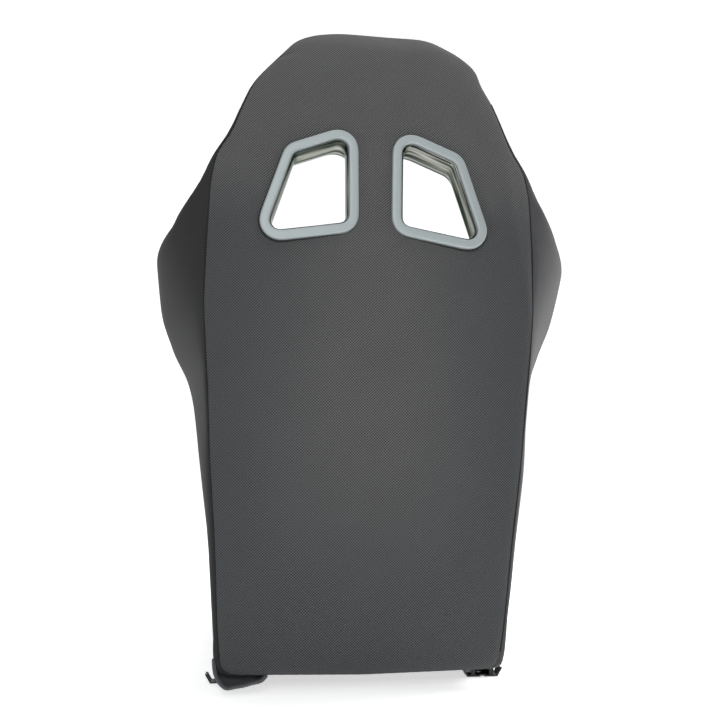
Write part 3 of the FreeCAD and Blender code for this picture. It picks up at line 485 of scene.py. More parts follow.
# ---- materials ----
class Nodes:
    """Short way to build a shader: each call adds one node and links what it is given."""

    def __init__(self, name):
        self.material = bpy.data.materials.new(name)
        self.material.use_nodes = True
        self.tree = self.material.node_tree
        self.shader = self.tree.nodes["Principled BSDF"]

    def add(self, kind, **settings):
        node = self.tree.nodes.new("ShaderNode" + kind)
        for key, value in settings.items():
            setattr(node, key, value)
        return node

    def feed(self, node, socket, value):
        if isinstance(value, bpy.types.NodeSocket):
            self.tree.links.new(value, node.inputs[socket])
        elif value is not None:
            node.inputs[socket].default_value = value

    def math(self, operation, first, second=None, third=None):
        node = self.add("Math", operation=operation)
        for index, value in enumerate((first, second, third)):
            self.feed(node, index, value)
        return node.outputs[0]

    def here(self):
        """Place on the object."""
        return self.add("TexCoord").outputs["Object"]

    def apart(self, vector):
        """The x, y and z of a vector."""
        node = self.add("SeparateXYZ")
        self.feed(node, "Vector", vector)
        return node.outputs

    def wave(self, value, period):
        """Sine of a length that repeats after each period."""
        return self.math("SINE", self.math("MULTIPLY", value, 2 * math.pi / period))

    def noise(self, vector, scale, detail=2.0):
        node = self.add("TexNoise")
        self.feed(node, "Vector", vector)
        self.feed(node, "Scale", scale)
        self.feed(node, "Detail", detail)
        return node.outputs["Fac"]

    def mix(self, factor, first, second):
        node = self.add("Mix", data_type="RGBA")
        self.feed(node, "Factor", factor)
        self.feed(node, "A", first)
        self.feed(node, "B", second)
        return node.outputs["Result"]

    def ramp(self, value, start, end):
        """0 up to start and 1 from end, eased between them."""
        node = self.add("MapRange", interpolation_type="SMOOTHSTEP")
        self.feed(node, "Value", value)
        self.feed(node, "From Min", start)
        self.feed(node, "From Max", end)
        return node.outputs["Result"]

    def unshaded_middle_of_back(self, where):
        """1 over the middle of the rear panel and on the head, 0 at its sides and lower end, where shade is
        painted on the cloth.
        """
        across, up = self.apart(where)[:2]
        outward = self.ramp(self.math("ABSOLUTE", across), 0.02, 0.21)
        below_head = self.math("SUBTRACT", 1.0, self.ramp(up, 0.55, 0.68))
        inward = self.math("SUBTRACT", 1.0, self.math("MULTIPLY", outward, below_head))
        return self.math("MULTIPLY", self.ramp(up, 0.0, 0.36), inward)

    def bump(self, height, strength, distance):
        node = self.add("Bump")
        self.feed(node, "Height", height)
        self.feed(node, "Strength", strength)
        self.feed(node, "Distance", distance)
        self.feed(self.shader, "Normal", node.outputs["Normal"])

    def finish(self, **values):
        names = {"color": "Base Color", "roughness": "Roughness", "metallic": "Metallic",
                 "specular": "Specular IOR Level", "sheen": "Sheen Weight", "coat": "Coat Weight"}
        for key, value in values.items():
            self.feed(self.shader, names[key], value)
        return self.material


def grey(level, tint=WHITE):
    return tuple(level * part for part in tint) + (1.0,)


def cloth(name, dark, light, period, ribs, weave, angle=45.0, fuzz=0.8, painted_edge_shade=None):
    """Woven cloth: fine ribs over a fainter cross weave, and soft worn patches.

    The last argument gives the dark and light colour of the shade painted along the rear panel's sides and
    its lower end.
    """
    n = Nodes(name)
    where = n.add("UVMap", uv_map="cloth").outputs["UV"]
    turned = n.add("VectorRotate", rotation_type="Z_AXIS")
    n.feed(turned, "Vector", where)
    n.feed(turned, "Angle", math.radians(angle))
    across, up = n.apart(turned.outputs["Vector"])[:2]
    height = n.math("ADD", n.math("MULTIPLY", n.wave(up, period), ribs),
                    n.math("MULTIPLY", n.wave(across, period * 0.95), weave))
    height = n.math("ADD", height, n.math("MULTIPLY_ADD", n.noise(where, 900.0), fuzz, -fuzz / 2))
    tone = n.math("ADD", n.math("MULTIPLY_ADD", height, 0.5, 0.5),
                  n.math("MULTIPLY_ADD", n.noise(where, 14.0, 3.0), 0.12, -0.06))
    color = n.mix(tone, dark, light)
    # Painted shade: the rear panel's colour darkens towards its sides and its lower end, though not on the
    # head.
    if painted_edge_shade:
        color = n.mix(n.unshaded_middle_of_back(where), n.mix(tone, *painted_edge_shade), color)
    n.bump(height, 0.28, 0.0006)
    return n.finish(color=color, roughness=0.9, specular=0.25, sheen=0.1)


def webbing(name, dark, light):
    """Webbing on a CAD part, which has no cloth map: ribs along its own coordinates."""
    n = Nodes(name)
    across, _, up = n.apart(n.here())
    height = n.math("MULTIPLY", n.wave(up, 0.0022), n.wave(across, 0.0028))
    n.bump(height, 0.4, 0.0006)
    color = n.mix(n.math("MULTIPLY_ADD", height, 0.4, 0.5), dark, light)
    return n.finish(color=color, roughness=0.8, specular=0.3)


def coated(name, color, roughness=0.4, metallic=0.0, grain=0.12, coat=0.0):
    """Paint, plastic or metal with a slightly uneven surface."""
    n = Nodes(name)
    where = n.here()
    wear = n.noise(where, 22.0, 4.0)
    level = n.math("MULTIPLY_ADD", wear, 0.25, roughness - 0.12)
    darker = tuple(part * 0.78 for part in color[:3]) + (1.0,)
    n.bump(n.noise(where, 260.0, 3.0), grain, 0.0004)
    return n.finish(color=n.mix(wear, darker, color), roughness=level, metallic=metallic, coat=coat)


def satin_trim(name, color):
    """Metallised plastic with very fine grain."""
    n = Nodes(name)
    grain = n.noise(n.here(), 900.0)
    n.bump(grain, 0.05, 0.0002)
    return n.finish(color=color, roughness=n.math("MULTIPLY_ADD", grain, 0.12, 0.44), metallic=0.35)


def mirror_trim(name):
    """Chrome with long soft dark streaks painted into its colour: painted reflections of the cloth round it.
    """
    n = Nodes(name)
    stretched = n.add("VectorMath", operation="MULTIPLY")
    n.feed(stretched, 0, n.here())
    n.feed(stretched, 1, (9.0, 95.0, 9.0))
    # Painted reflection: stretched noise darkens the chrome's colour in streaks where it would mirror the
    # cloth.
    streak = n.noise(stretched.outputs["Vector"], 1.0, 3.0)
    sharp = n.math("MULTIPLY_ADD", streak, 5.0, -2.1)
    color = n.mix(sharp, grey(0.08, (0.92, 1.0, 0.93)), grey(0.42, (1.0, 1.0, 0.92)))
    n.feed(n.shader, "Specular Tint", grey(0.30, (1.0, 1.08, 1.0)))
    return n.finish(color=color, roughness=0.06, metallic=1.0)


def studio_floor():
    n = Nodes("studio_floor")
    n.feed(n.shader, "Emission Color", grey(1.0))
    n.feed(n.shader, "Emission Strength", FLOOR_GLOW)
    color = n.mix(n.noise(n.here(), 1.5), grey(0.90), grey(0.93))
    return n.finish(color=color, roughness=0.8, specular=0.2)


def make_materials():
    cool = (0.98, 0.98, 1.03)
    bluish = (0.94, 1.0, 1.06)
    return {
        # The rear twill gets painted shade, tinted cool, along the panel's sides and lower end.
        "rear": cloth("rear_twill", grey(0.003), grey(0.154, (1.0, 0.995, 1.0)), 0.0026, 0.84, 0.54,
                      fuzz=2.2, painted_edge_shade=(grey(0.018, bluish), grey(0.088, bluish))),
        # The side fabric in two copies: the left one is painted darker than the right, as painted shade on
        # the side away from the lights.
        "side_left": cloth("side_fabric_left_painted_shade", grey(0.009, cool), grey(0.031, cool), 0.0018, 0.3, 0.2),
        "side_right": cloth("side_fabric_right", grey(0.026, cool), grey(0.084, cool), 0.0018, 0.3, 0.2),
        "hem": cloth("hem_fabric", grey(0.036, bluish), grey(0.14, bluish), 0.0012, 0.2, 0.2),
        "centre": cloth("centre_fabric", grey(0.020), grey(0.060), 0.0024, 0.3, 0.6, angle=0.0),
        "red": cloth("red_fabric", (0.20, 0.009, 0.012, 1), (0.36, 0.02, 0.024, 1), 0.0012, 0.25, 0.25),
        # Near-black cord colour that stands in for the shadow in the rear seams: painted shadow.
        "painted_seam_shade": coated("seam_shadow", grey(0.006), 0.9, grain=0.0),
        "piping": coated("red_piping", (0.42, 0.015, 0.02, 1), 0.5),
        "silver": satin_trim("satin_silver", (0.355, 0.395, 0.40, 1)),
        "chrome": mirror_trim("chrome_painted_reflections"),
        # Near-black ring colour for the painted shadow round each bezel.
        "lip": coated("black_lip_painted_shadow", grey(0.004), 0.6),
        "frame_paint": coated("frame_powder_coat", grey(0.018), 0.42, coat=0.15),
        "webbing": webbing("belt_webbing", grey(0.018), grey(0.05)),
        "steel": coated("painted_rail", grey(0.022), 0.38, 0.3, 0.08),
        "black_steel": coated("black_steel", grey(0.03), 0.45, 0.4),
        "zinc": coated("zinc_hardware", (0.55, 0.55, 0.53, 1), 0.32, 1.0, 0.06),
        "nylon": coated("white_nylon", (0.62, 0.61, 0.58, 1), 0.45),
        "rubber": coated("grip_rubber", grey(0.016), 0.75, grain=0.3),
        "slot": coated("slot_plastic", grey(0.02), 0.4),
        "floor": studio_floor(),
    }


# ---- surfaces of the back ----
def back_surface(x, z):
    """Rear face without its rolled edges: a profile down the middle and a slight crown across."""
    return looked_up(REAR_PROFILE, z) - CROWN * (x / CROWN_HALF_WIDTH) ** 2


def pad_y(z):
    """Front of the back pad, down its middle."""
    return looked_up(REAR_PROFILE, z) - looked_up(PAD_DEPTH, z)


def rim_lines(count):
    """The rim's four guide lines, each as count points from the hem to the middle of the head.

    The rear seam's y comes from the rear panel, which rolls down to it.
    """
    stations = np.array(RIM_STATIONS, float)
    along = travelled(stations[:, 1])
    places = np.linspace(0, along[-1], count)
    lines = [curve(along, stations[:, line], places) for line in range(4)]
    seam = lines[0]
    seam[:, 1] = back_surface(seam[:, 0], seam[:, 2]) - looked_up(SEAM_DEPTH, seam[:, 2])
    return lines


def four_sided(left, right, bottom, top):
    """Coons patch of four border lines; left and right run upwards, bottom and top run left to right."""
    rows = len(left)
    columns = len(bottom)
    v = np.linspace(0, 1, rows)[:, None, None]
    u = np.linspace(0, 1, columns)[None, :, None]
    ruled = (1 - u) * left[:, None] + u * right[:, None] + (1 - v) * bottom[None] + v * top[None]
    corners = ((1 - u) * (1 - v) * bottom[0] + u * (1 - v) * bottom[-1] + (1 - u) * v * top[0]
               + u * v * top[-1])
    return ruled - corners


def nearest(points, line):
    """Distance from each point to a dense line, and the line's index there."""
    flat = points.reshape(-1, points.shape[-1])
    distance = np.zeros(len(flat))
    index = np.zeros(len(flat), int)
    for first in range(0, len(flat), 2000):
        gap = np.linalg.norm(flat[first:first + 2000, None] - line[None], axis=2)
        index[first:first + 2000] = gap.argmin(axis=1)
        distance[first:first + 2000] = gap.min(axis=1)
    shape = points.shape[:-1]
    return distance.reshape(shape), index.reshape(shape)


def rounded_patch(side_line, corner_index, rows, columns, middle_surface, roll_width):
    """Panel inside a border line given from its bottom middle to its top middle, rolled down to it.

    side_line is x, y, z for the +X half; the patch is symmetric.  corner_index holds the indices of
    the lower and upper corner on that line.  roll_width gives the roll's width from the height.
    """
    low, high = corner_index
    lower = resampled(side_line[:low + 1], columns // 2 + 1)
    side = resampled(side_line[low:high + 1], rows)
    upper = resampled(side_line[high:], columns // 2 + 1)
    flip = np.array([-1.0, 1.0, 1.0])
    bottom = np.concatenate([(lower * flip)[::-1], lower[1:]])
    top = np.concatenate([upper * flip, upper[::-1][1:]])
    flat = four_sided((side * flip)[:, [0, 2]], side[:, [0, 2]], bottom[:, [0, 2]], top[:, [0, 2]])
    border = resampled(side_line, 1200)
    border = np.concatenate([(border * flip)[::-1], border])
    distance, index = nearest(flat, border[:, [0, 2]])
    depth = middle_surface(border[:, 0], border[:, 2]) - border[:, 1]
    width = roll_width(flat[..., 1])
    inward = np.clip(1 - distance / width, 0, 1)
    roll = 1 - np.sqrt(np.clip(1 - inward ** 2, 0, 1))
    y = middle_surface(flat[..., 0], flat[..., 1]) - depth[index] * roll
    return np.stack([flat[..., 0], y, flat[..., 1]], axis=2)


def corner_arc(point_a, along_a, point_b, along_b, radius, count):
    """Points of the arc that rounds the corner between two lines, each given by a point and a direction."""
    solved = np.linalg.solve(np.stack([along_a, -along_b], axis=1), point_b - point_a)
    corner = point_a + along_a * solved[0]
    half = math.acos(np.clip(-along_a @ along_b, -1, 1)) / 2
    reach = radius / math.tan(half)
    bisector = along_b - along_a
    centre = corner + bisector / np.linalg.norm(bisector) * radius / math.sin(half)
    first = corner - along_a * reach - centre
    last = corner + along_b * reach - centre
    sideways = np.array([-first[1], first[0]])
    angle = np.linspace(0, math.atan2(sideways @ last, first @ last), count)[:, None]
    return centre + np.cos(angle) * first + np.sin(angle) * sideways


def slot_loop(side, growth):
    """Rounded outline of a harness slot as x and z, grown outwards; points match between growths."""
    corners = np.array(SLOT_CORNERS)
    along = np.roll(corners, -1, axis=0) - corners
    along /= np.linalg.norm(along, axis=1, keepdims=True)
    outward = np.stack([along[:, 1], -along[:, 0]], axis=1)
    outward *= np.sign((outward * (corners - corners.mean(axis=0))).sum(axis=1))[:, None]
    grown = corners + outward * growth
    arcs = [corner_arc(grown[i - 1], along[i - 1], grown[i], along[i], SLOT_RADIUS + growth, 7)
            for i in range(len(corners))]
    share = np.linspace(0, 1, 7)[1:-1, None]
    points = []
    for arc, following in zip(arcs, arcs[1:] + arcs[:1]):
        points += [arc, arc[-1] * (1 - share) + following[0] * share]
    return np.concatenate(points) * np.array([side, 1.0])


def lean(points, y):
    """Slot points at place y on the bezel's leaning plane, as x, y, z."""
    drop = (points[:, 1] - SLOT_PIVOT) * math.tan(SLOT_LEAN)
    return np.stack([points[:, 0], y - drop, points[:, 1]], axis=1)


def inside(points, loop):
    """True for points inside a closed loop."""
    x = points[..., 0][..., None]
    z = points[..., 1][..., None]
    start = loop
    end = np.roll(loop, -1, axis=0)
    crosses = (start[:, 1] > z) != (end[:, 1] > z)
    slope = (end[:, 0] - start[:, 0]) / np.where(end[:, 1] == start[:, 1], 1e-9, end[:, 1] - start[:, 1])
    return (crosses & (x < start[:, 0] + (z - start[:, 1]) * slope)).sum(axis=-1) % 2 == 1


def open_holes(grid, loops, plane=(0, 2), reach=4.5):
    """Moves grid points within reach inside a hole's outline onto it.

    Returns the grid and which of its cells remain.
    """
    grid = grid.copy()
    keep = np.ones((grid.shape[0] - 1, grid.shape[1] - 1), bool)
    for loop in loops:
        dense = resampled(closed(loop), 600)
        flat = grid[..., list(plane)]
        distance, index = nearest(flat, dense)
        within = inside(flat, loop)
        close = within & (distance < reach)
        for axis, part in zip(plane, (0, 1)):
            grid[..., axis] = np.where(close, dense[index][..., part], grid[..., axis])
        hidden = within & ~close
        keep &= ~(hidden[:-1, :-1] | hidden[1:, :-1] | hidden[:-1, 1:] | hidden[1:, 1:])
    return grid, keep


# ---- cloth simulation ----
def air_filled(piece, pinned, pressure):
    """Makes a mesh into cloth with air pressing from behind and its pinned vertices held."""
    group = piece.vertex_groups.new(name="pins")
    group.add([int(index) for index in np.flatnonzero(pinned)], 1.0, "REPLACE")
    cloth_modifier = piece.modifiers.new("cloth", "CLOTH")
    settings = cloth_modifier.settings
    settings.quality = 5
    settings.mass = 0.15
    settings.tension_stiffness = 15.0
    settings.compression_stiffness = 15.0
    settings.shear_stiffness = 5.0
    settings.bending_stiffness = 0.4
    settings.use_pressure = True
    settings.uniform_pressure_force = pressure
    settings.vertex_group_mass = "pins"
    settings.effector_weights.gravity = 0.0
    cloth_modifier.collision_settings.use_collision = False
    cloth_modifier.point_cache.frame_start = 1
    cloth_modifier.point_cache.frame_end = PUFF_FRAMES


def puff(points, pinned, pressure, cap):
    """The grid after a simulation as cloth with air behind it.

    Pinned points stay, and no other point moves further than cap.
    """
    mesh = bpy.data.meshes.new("puff")
    mesh.from_pydata((points.reshape(-1, 3) * MM).tolist(), [], quads(*points.shape[:2]))
    piece = bpy.data.objects.new("puff", mesh)
    scene = bpy.context.scene
    scene.collection.objects.link(piece)
    air_filled(piece, pinned.ravel(), pressure)
    for number in range(1, PUFF_FRAMES + 1):
        scene.frame_set(number)
    depsgraph = bpy.context.evaluated_depsgraph_get()
    result = bpy.data.meshes.new_from_object(piece.evaluated_get(depsgraph))
    rest = coordinates(mesh)
    shift = coordinates(result) - rest
    bpy.data.meshes.remove(result)
    bpy.data.objects.remove(piece)
    bpy.data.meshes.remove(mesh)
    scene.frame_set(1)
    length = np.linalg.norm(shift, axis=1)
    limit = cap * MM
    scale = limit * np.tanh(length / limit) / np.maximum(length, 1e-9)
    return (rest + shift * scale[:, None]).reshape(points.shape) / MM


def grid_border(grid):
    """True along a grid's four borders."""
    edge = np.ones(grid.shape[:2], bool)
    edge[1:-1, 1:-1] = False
    return edge


# ---- pieces of the back ----
def ridge(points, start, end, width, height):
    """Soft fold along a line between two x, z points: how far each point is lifted."""
    start = np.array(start, float)
    along = np.array(end, float) - start
    offset = points[..., [0, 2]] - start
    share = np.clip((offset @ along) / (along @ along), 0, 1)
    distance = np.linalg.norm(offset - share[..., None] * along, axis=-1)
    fade = np.sin(math.pi * np.clip(share, 0.02, 0.98)) ** 0.6
    return height * fade * bell(distance, 0.0, width)


def askew(points):
    """The head's cover sits slightly askew: it is pulled towards -X, and its corner there is fuller."""
    x = points[..., 0]
    z = points[..., 2]
    moved = np.array(points)
    moved[..., 0] -= HEAD_SHIFT * bell(z, *HEAD_SHIFT_HEIGHTS)
    moved[..., 2] += HEAD_LIFT * np.clip((z - 800.0) / 60.0, 0, 1) * bell(x, *HEAD_LIFT_PLACES)
    return moved


def rear_cover_panel(lines, looks):
    """Rear fabric: the crowned panel with its rolled edges, soft folds and two slot openings."""
    seam = lines[0]
    low, high = [int(np.argmin(np.abs(seam[:, 2] - height))) + 1 for height in PANEL_CORNERS]
    hem = np.array([[0.0, back_surface(0.0, HEM_HEIGHT) - 2.0, HEM_HEIGHT]])
    points = rounded_patch(np.concatenate([hem, seam]), (low, high), 150, 84, back_surface,
                           lambda z: looked_up(PANEL_ROLL, z))
    for start, end, width, height in REAR_FOLDS:
        points[..., 1] += ridge(points, start, end, width, height)
    for side in SIDES.values():
        gap = nearest(points[..., [0, 2]], resampled(closed(slot_loop(side, COVER_SINK)), 300))[0]
        points[..., 1] -= 2.4 * bell(gap, 0.0, 7.0)
    points, keep = open_holes(points, [slot_loop(side, COVER_CUT) for side in SIDES.values()])
    points = askew(points)
    outward = grid_normals(points)
    outward *= np.sign(outward[..., 1].mean())
    inner = points - outward * COVER_THICKNESS
    piece = slab("rear_cover_panel", points, inner, keep, cloth_map=height_map)
    dress(piece, looks["rear"])
    return place(piece, "seat", "rear_fabric", "rear_cover")


def rim_grid(lines):
    """The rim's visible skin from the rear seam over the widest line and the crest to the front seam."""
    seam, widest, crest, inner = lines
    corner_z = np.where(crest[:, 2] > 800, widest[:, 2] * 0.5 + seam[:, 2] * 0.5, widest[:, 2])
    rear_corner = np.stack([widest[:, 0], seam[:, 1], corner_z], axis=1)
    front_corner = np.stack([widest[:, 0], crest[:, 1], widest[:, 2]], axis=1)
    pinch = looked_up(RIM_PINCH, crest[:, 2])
    inner_x = inner[:, 0] * (1 - pinch) + crest[:, 0] * pinch
    inner_corner = np.stack([inner_x, crest[:, 1], crest[:, 2]], axis=1)
    parts = [turn(seam, rear_corner, widest, 13, looked_up(RIM_FULLNESS, widest[:, 2])),
             turn(widest, front_corner, crest, 13, 1.8)[:, 1:],
             turn(crest, inner_corner, inner, 13, 1.6)[:, 1:]]
    return np.concatenate(parts, axis=1)


def side_rims(lines, looks):
    """Bolsters from the hips over the shoulder wings to the head, with red inner faces on the wings."""
    skin = rim_grid(lines)
    skin = puff(skin[:, ::-1], grid_border(skin), *RIM_PUFF)[:, ::-1]
    core = straight(skin[:, -1], skin[:, 0], 6)[:, 1:-1]
    loops = np.concatenate([skin, core], axis=1)
    heights = lines[2][:, 2]

    def material_of(row, column):
        if not RIM_CREST <= column < skin.shape[1] - 1:
            return 0
        return 1 if WING_RED[0] < heights[row] < WING_RED[1] else 2

    stands_for = {"left": ["side_bolster_left", "head_top_pad"], "right": ["side_bolster_right"]}
    for word, side in SIDES.items():
        placed = askew(loops * np.array([side, 1.0, 1.0]))
        piece = closed_sweep("side_rim_" + word, placed, material_of)
        # The left rim gets the side fabric's copy that is painted darker, as painted shade.
        dress(piece, looks["side_" + word], looks["red"], looks["centre"])
        place(piece, "seat", "bolster_fabric", *stands_for[word])
    return skin


def back_centre_pad(lines, looks):
    """Channelled pad between the bolsters, open round the slots."""
    inner = lines[3]
    edge = inner[int(np.argmin(np.abs(inner[:, 2] - 152))):].copy()
    edge[:, 0] -= 0.6
    high = int(np.argmin(np.abs(edge[:, 2] - 842)))
    bottom = np.linspace([0.0, edge[0, 1], edge[0, 2]], edge[0], 40)[:-1]
    front = rounded_patch(np.concatenate([bottom, edge]), (len(bottom), len(bottom) + high), 128, 76,
                          lambda x, z: pad_y(z) + 3.0 * (x / 184) ** 2, lambda z: np.full_like(z, PAD_ROLL))
    x = front[..., 0]
    z = front[..., 2]
    seams = seam_mask(x, z)
    front[..., 1] += 2.6 * seams
    front, keep = open_holes(front, [slot_loop(side, PAD_CUT) for side in SIDES.values()])
    pinned = (seams > 0.55) | grid_border(front)
    for side in SIDES.values():
        pinned |= inside(front[..., [0, 2]], slot_loop(side, PAD_HELD))
    puffed = puff(front, pinned, *PAD_PUFF)
    back = puffed.copy()
    back[..., 1] = np.maximum(back_surface(x, z) - 9.0, puffed[..., 1] + 4.0)
    piece = slab("back_centre_pad", askew(puffed), askew(back), keep)
    dress(piece, looks["centre"])
    place(piece, "seat", "centre_fabric", "back_pad")


def seam_mask(x, z):
    """How much each point of the back pad lies in a sewn seam, from 0 to 1."""
    outward = np.abs(x)
    mask = bell(outward, PAD_SIDE_SEAM, 3.0) * (z < PAD_CHANNELS_TOP) + bell(z, HEADREST_SEAM, 3.0)
    for height in CHANNEL_HEIGHTS:
        mask += bell(z, height, 3.0) * (outward < PAD_SIDE_SEAM)
    mask += bell(z, PAD_CHANNELS_TOP, 3.0) * (outward < PAD_SIDE_SEAM + 3)
    return np.clip(mask, 0, 1)


def hem_fold(looks):
    """Loose flap of the cover under the left rear corner, hanging like a small scoop with a rolled lip."""
    share = np.linspace(0, 1, 46)
    x = np.interp(share, *zip(*FLAP_X))[:, None]
    tables = (FLAP_LIP_Y, FLAP_LIP_Z, FLAP_ROOT_Z)
    lip_y, lip_z, root_z = [looked_up(table, share)[:, None] for table in tables]
    across = np.linspace(0, 1, 22)[None, :]
    root = (1 - across) ** 2
    middle = 2 * across * (1 - across)
    lip = across ** 2
    sag = lip_z - 8.0 * (np.sin(math.pi * share) ** 0.7)[:, None]
    y = 184 * root + 200 * middle + lip_y * lip
    z = root_z * root + sag * middle + lip_z * lip + 1.2 * np.sin(share * 19.0)[:, None] * middle
    points = np.stack([np.broadcast_to(x, y.shape), y, np.maximum(z, 2.0)], axis=2)
    roll = np.clip((across - 0.72) / 0.28, 0, 1)
    thickness = 1.4 + 3.6 * np.sin(math.pi * roll) ** 0.8
    offset = grid_normals(points) * thickness[..., None] * 0.5
    piece = slab("hem_fold_left", points + offset, points - offset)
    subdivide(piece)
    dress(piece, looks["hem"])
    place(piece, "seat", "rear_fabric")
    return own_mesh(piece)


def slot_trim(looks):
    """Silver bezel, black lip that stands in for the shadow gap round it, and chrome sleeve with painted
    reflections, of each harness slot.
    """
    trims = [("rear_bezel_ring_", REAR_BEZEL, "silver", "silver_trim", "rear_bezel_"),
             ("rear_bezel_lip_", REAR_LIP, "lip", "slot_trim", None),
             ("slot_sleeve_", SLEEVE, "chrome", "chrome_trim", "front_bezel_")]
    for word, side in SIDES.items():
        for name, profile, look, slot, node in trims:
            loops = np.array([lean(slot_loop(side, growth), y) for growth, y in profile])
            piece = dress(ring(name + word, loops), looks[look])
            place(piece, "seat", slot, *([node + word] if node else []))


def cord(name, line, radius, look, slot):
    """Round cord sewn along a line of points."""
    path = resampled(line, len(line))
    tangent = np.gradient(path, axis=0)
    tangent /= np.linalg.norm(tangent, axis=1, keepdims=True)
    angle = np.linspace(0, 2 * math.pi, 10, endpoint=False)[:, None]
    helper = np.array([0.0, 0.0, 1.0]) if abs(tangent[0][2]) < 0.8 else np.array([1.0, 0.0, 0.0])
    normal = np.cross(tangent[0], helper)
    rings = []
    for point, direction in zip(path, tangent):
        normal = normal - direction * (normal @ direction)
        normal /= np.linalg.norm(normal)
        rings.append(point + radius * (np.cos(angle) * normal + np.sin(angle) * np.cross(direction, normal)))
    place(dress(closed_sweep(name, np.array(rings)), look), "seat", slot)


def rim_piping(skin, looks):
    """Red cord sewn along the front crest of each shoulder wing."""
    crest = skin[:, RIM_CREST]
    chosen = crest[(crest[:, 2] > WING_RED[0]) & (crest[:, 2] < WING_RED[1])]
    for word, side in SIDES.items():
        line = chosen * np.array([side, 1, 1]) + np.array([0.4 * side, -0.6, 0])
        cord("wing_piping_" + word, line, 1.8, looks["piping"], "bolster_fabric")


def rear_seams(lines, looks):
    """Dark cord in the seam between the rear panel and each side, standing in for the seam's shadow: painted
    shadow.
    """
    seam = lines[0]
    chosen = seam[(seam[:, 2] > 45) & (seam[:, 2] < 790)] + np.array([0.6, -0.2, 0.0])
    for word, side in SIDES.items():
        line = askew(chosen * np.array([side, 1, 1]))
        cord("rear_seam_" + word, line, 1.3, looks["painted_seam_shade"], "rear_fabric")


# ---- pieces of the base ----
def strap_slot_loop(growth):
    """Rounded outline of the strap slot as x and y."""
    x, y, length, width = STRAP_SLOT
    radius = width / 2 + growth
    angle = np.linspace(-math.pi / 2, math.pi / 2, 14)
    right = np.column_stack([x + (length - width) / 2 + radius * np.cos(angle), y + radius * np.sin(angle)])
    return np.concatenate([right, 2 * np.array([x, y]) - right])


def seat_cushion_pad(looks):
    """Cushion with sewn channels, from its rounded front edge to the back pad, open at the strap slot."""
    rows, columns = 120, 62
    x = np.linspace(-CUSHION_HALF, CUSHION_HALF, columns)[None, :] * np.ones((rows, 1))
    profile = resampled(CUSHION_PROFILE, rows)
    y = profile[:, :1] * np.ones((1, columns))
    edge = np.clip(1 - (CUSHION_HALF - np.abs(x)) / 18.0, 0, 1)
    z = profile[:, 1:] - 9.0 * (1 - np.sqrt(1 - edge ** 2))
    upper = z > 180
    seams = bell(np.abs(x), CUSHION_SIDE_SEAM, 2.6)
    seams[:3] = 0
    for place_y in CUSHION_CHANNELS:
        seams += bell(y, place_y, 3.0) * (np.abs(x) < CUSHION_SIDE_SEAM - 2) * upper
    seams = np.clip(seams, 0, 1)
    top = np.stack([x, y + 2.2 * seams * ~upper, z - 2.6 * seams * upper], axis=2)
    top, keep = open_holes(top, [strap_slot_loop(5.0)], plane=(0, 1))
    keep[:24] = True
    pinned = (seams > 0.5) | grid_border(top) | inside(top[..., [0, 1]], strap_slot_loop(13.0))
    puffed = puff(top, pinned, *CUSHION_PUFF)
    low = np.interp(puffed[..., 1], [-300, 158], [110, 79])
    bottom = np.stack([puffed[..., 0] * 0.99, np.maximum(puffed[..., 1], -286),
                       np.minimum(low, puffed[..., 2] - 2)], axis=2)
    piece = slab("seat_cushion_pad", puffed, bottom, keep)
    dress(piece, looks["centre"])
    return place(piece, "seat", "centre_fabric", "seat_cushion")


def strap_slot_ring(looks):
    """Rim of the strap slot, and its wall down through the cushion."""
    loops = []
    for growth, height in STRAP_RING:
        loop = strap_slot_loop(growth)
        top = np.interp(loop[:, 1], [-255, 158], [235, 188]) + height
        low = np.interp(loop[:, 1], [-300, 158], [112, 81])
        loops.append(np.column_stack([loop, np.maximum(top, low)]))
    piece = dress(ring("strap_slot_ring", np.array(loops)), looks["slot"])
    place(piece, "seat", "slot_trim", "strap_slot_bezel")


def thigh_loop(outer, top, inner_top, bottom):
    """Section of the left thigh bolster as x, z: bottom, outer side, crest, inner side."""
    inner = THIGH_INNER
    start = np.array([[outer - 5.0, bottom]])
    belly = np.array([[outer + 0.5, (bottom + top) / 2 - 8.0]])
    crest = np.array([[inner + (outer - inner) * 0.62, top]])
    side = turn(start, np.array([[outer + 0.5, bottom]]), belly, 9, 2.0)[0]
    over = turn(belly, np.array([[outer + 0.5, top]]), crest, 15, 2.1)[0, 1:]
    down = turn(crest, np.array([[inner + 1.0, top]]), np.array([[inner, inner_top]]), 13, 1.8)[0, 1:]
    under = [[inner, (bottom + inner_top) / 2], [inner, bottom], [(inner + outer) / 2, bottom]]
    return np.concatenate([side, over, down, under])


def thigh_pads(looks):
    """Bolsters beside the cushion with red inner faces, and red cord along their crests."""
    table = np.array(THIGH_STATIONS)
    places = table[0, 0] - table[:, 0]
    forward = np.concatenate([np.linspace(0, places[1], 6)[:-1], np.linspace(places[1], places[4], 56),
                              np.linspace(places[4], places[-1], 26)[1:]])
    loops = []
    for distance, sizes in zip(forward, curve(places, table[:, 1:], forward)):
        loops.append(np.insert(thigh_loop(*sizes), 1, table[0, 0] - distance, axis=1))
    loops = np.array(loops)
    skin = loops[:, :THIGH_SKIN]
    loops[:, :THIGH_SKIN] = puff(skin, grid_border(skin), *RIM_PUFF)
    piece = closed_sweep("thigh_pad_left", loops,
                         lambda row, column: int(THIGH_CREST <= column < THIGH_SKIN))
    # The left pad gets the side fabric's copy that is painted darker, as painted shade.
    dress(piece, looks["side_left"], looks["red"])
    twin = dress(mirror_copy(piece, "thigh_pad_right"), looks["side_right"], looks["red"])
    place(piece, "seat", "bolster_fabric", "thigh_bolster_left")
    place(twin, "seat", "bolster_fabric", "thigh_bolster_right")
    for word, side in SIDES.items():
        line = loops[2:-4, THIGH_CREST] * np.array([side, 1, 1]) + np.array([0, 0, 0.6])
        cord("thigh_piping_" + word, line, 1.8, looks["piping"], "bolster_fabric")


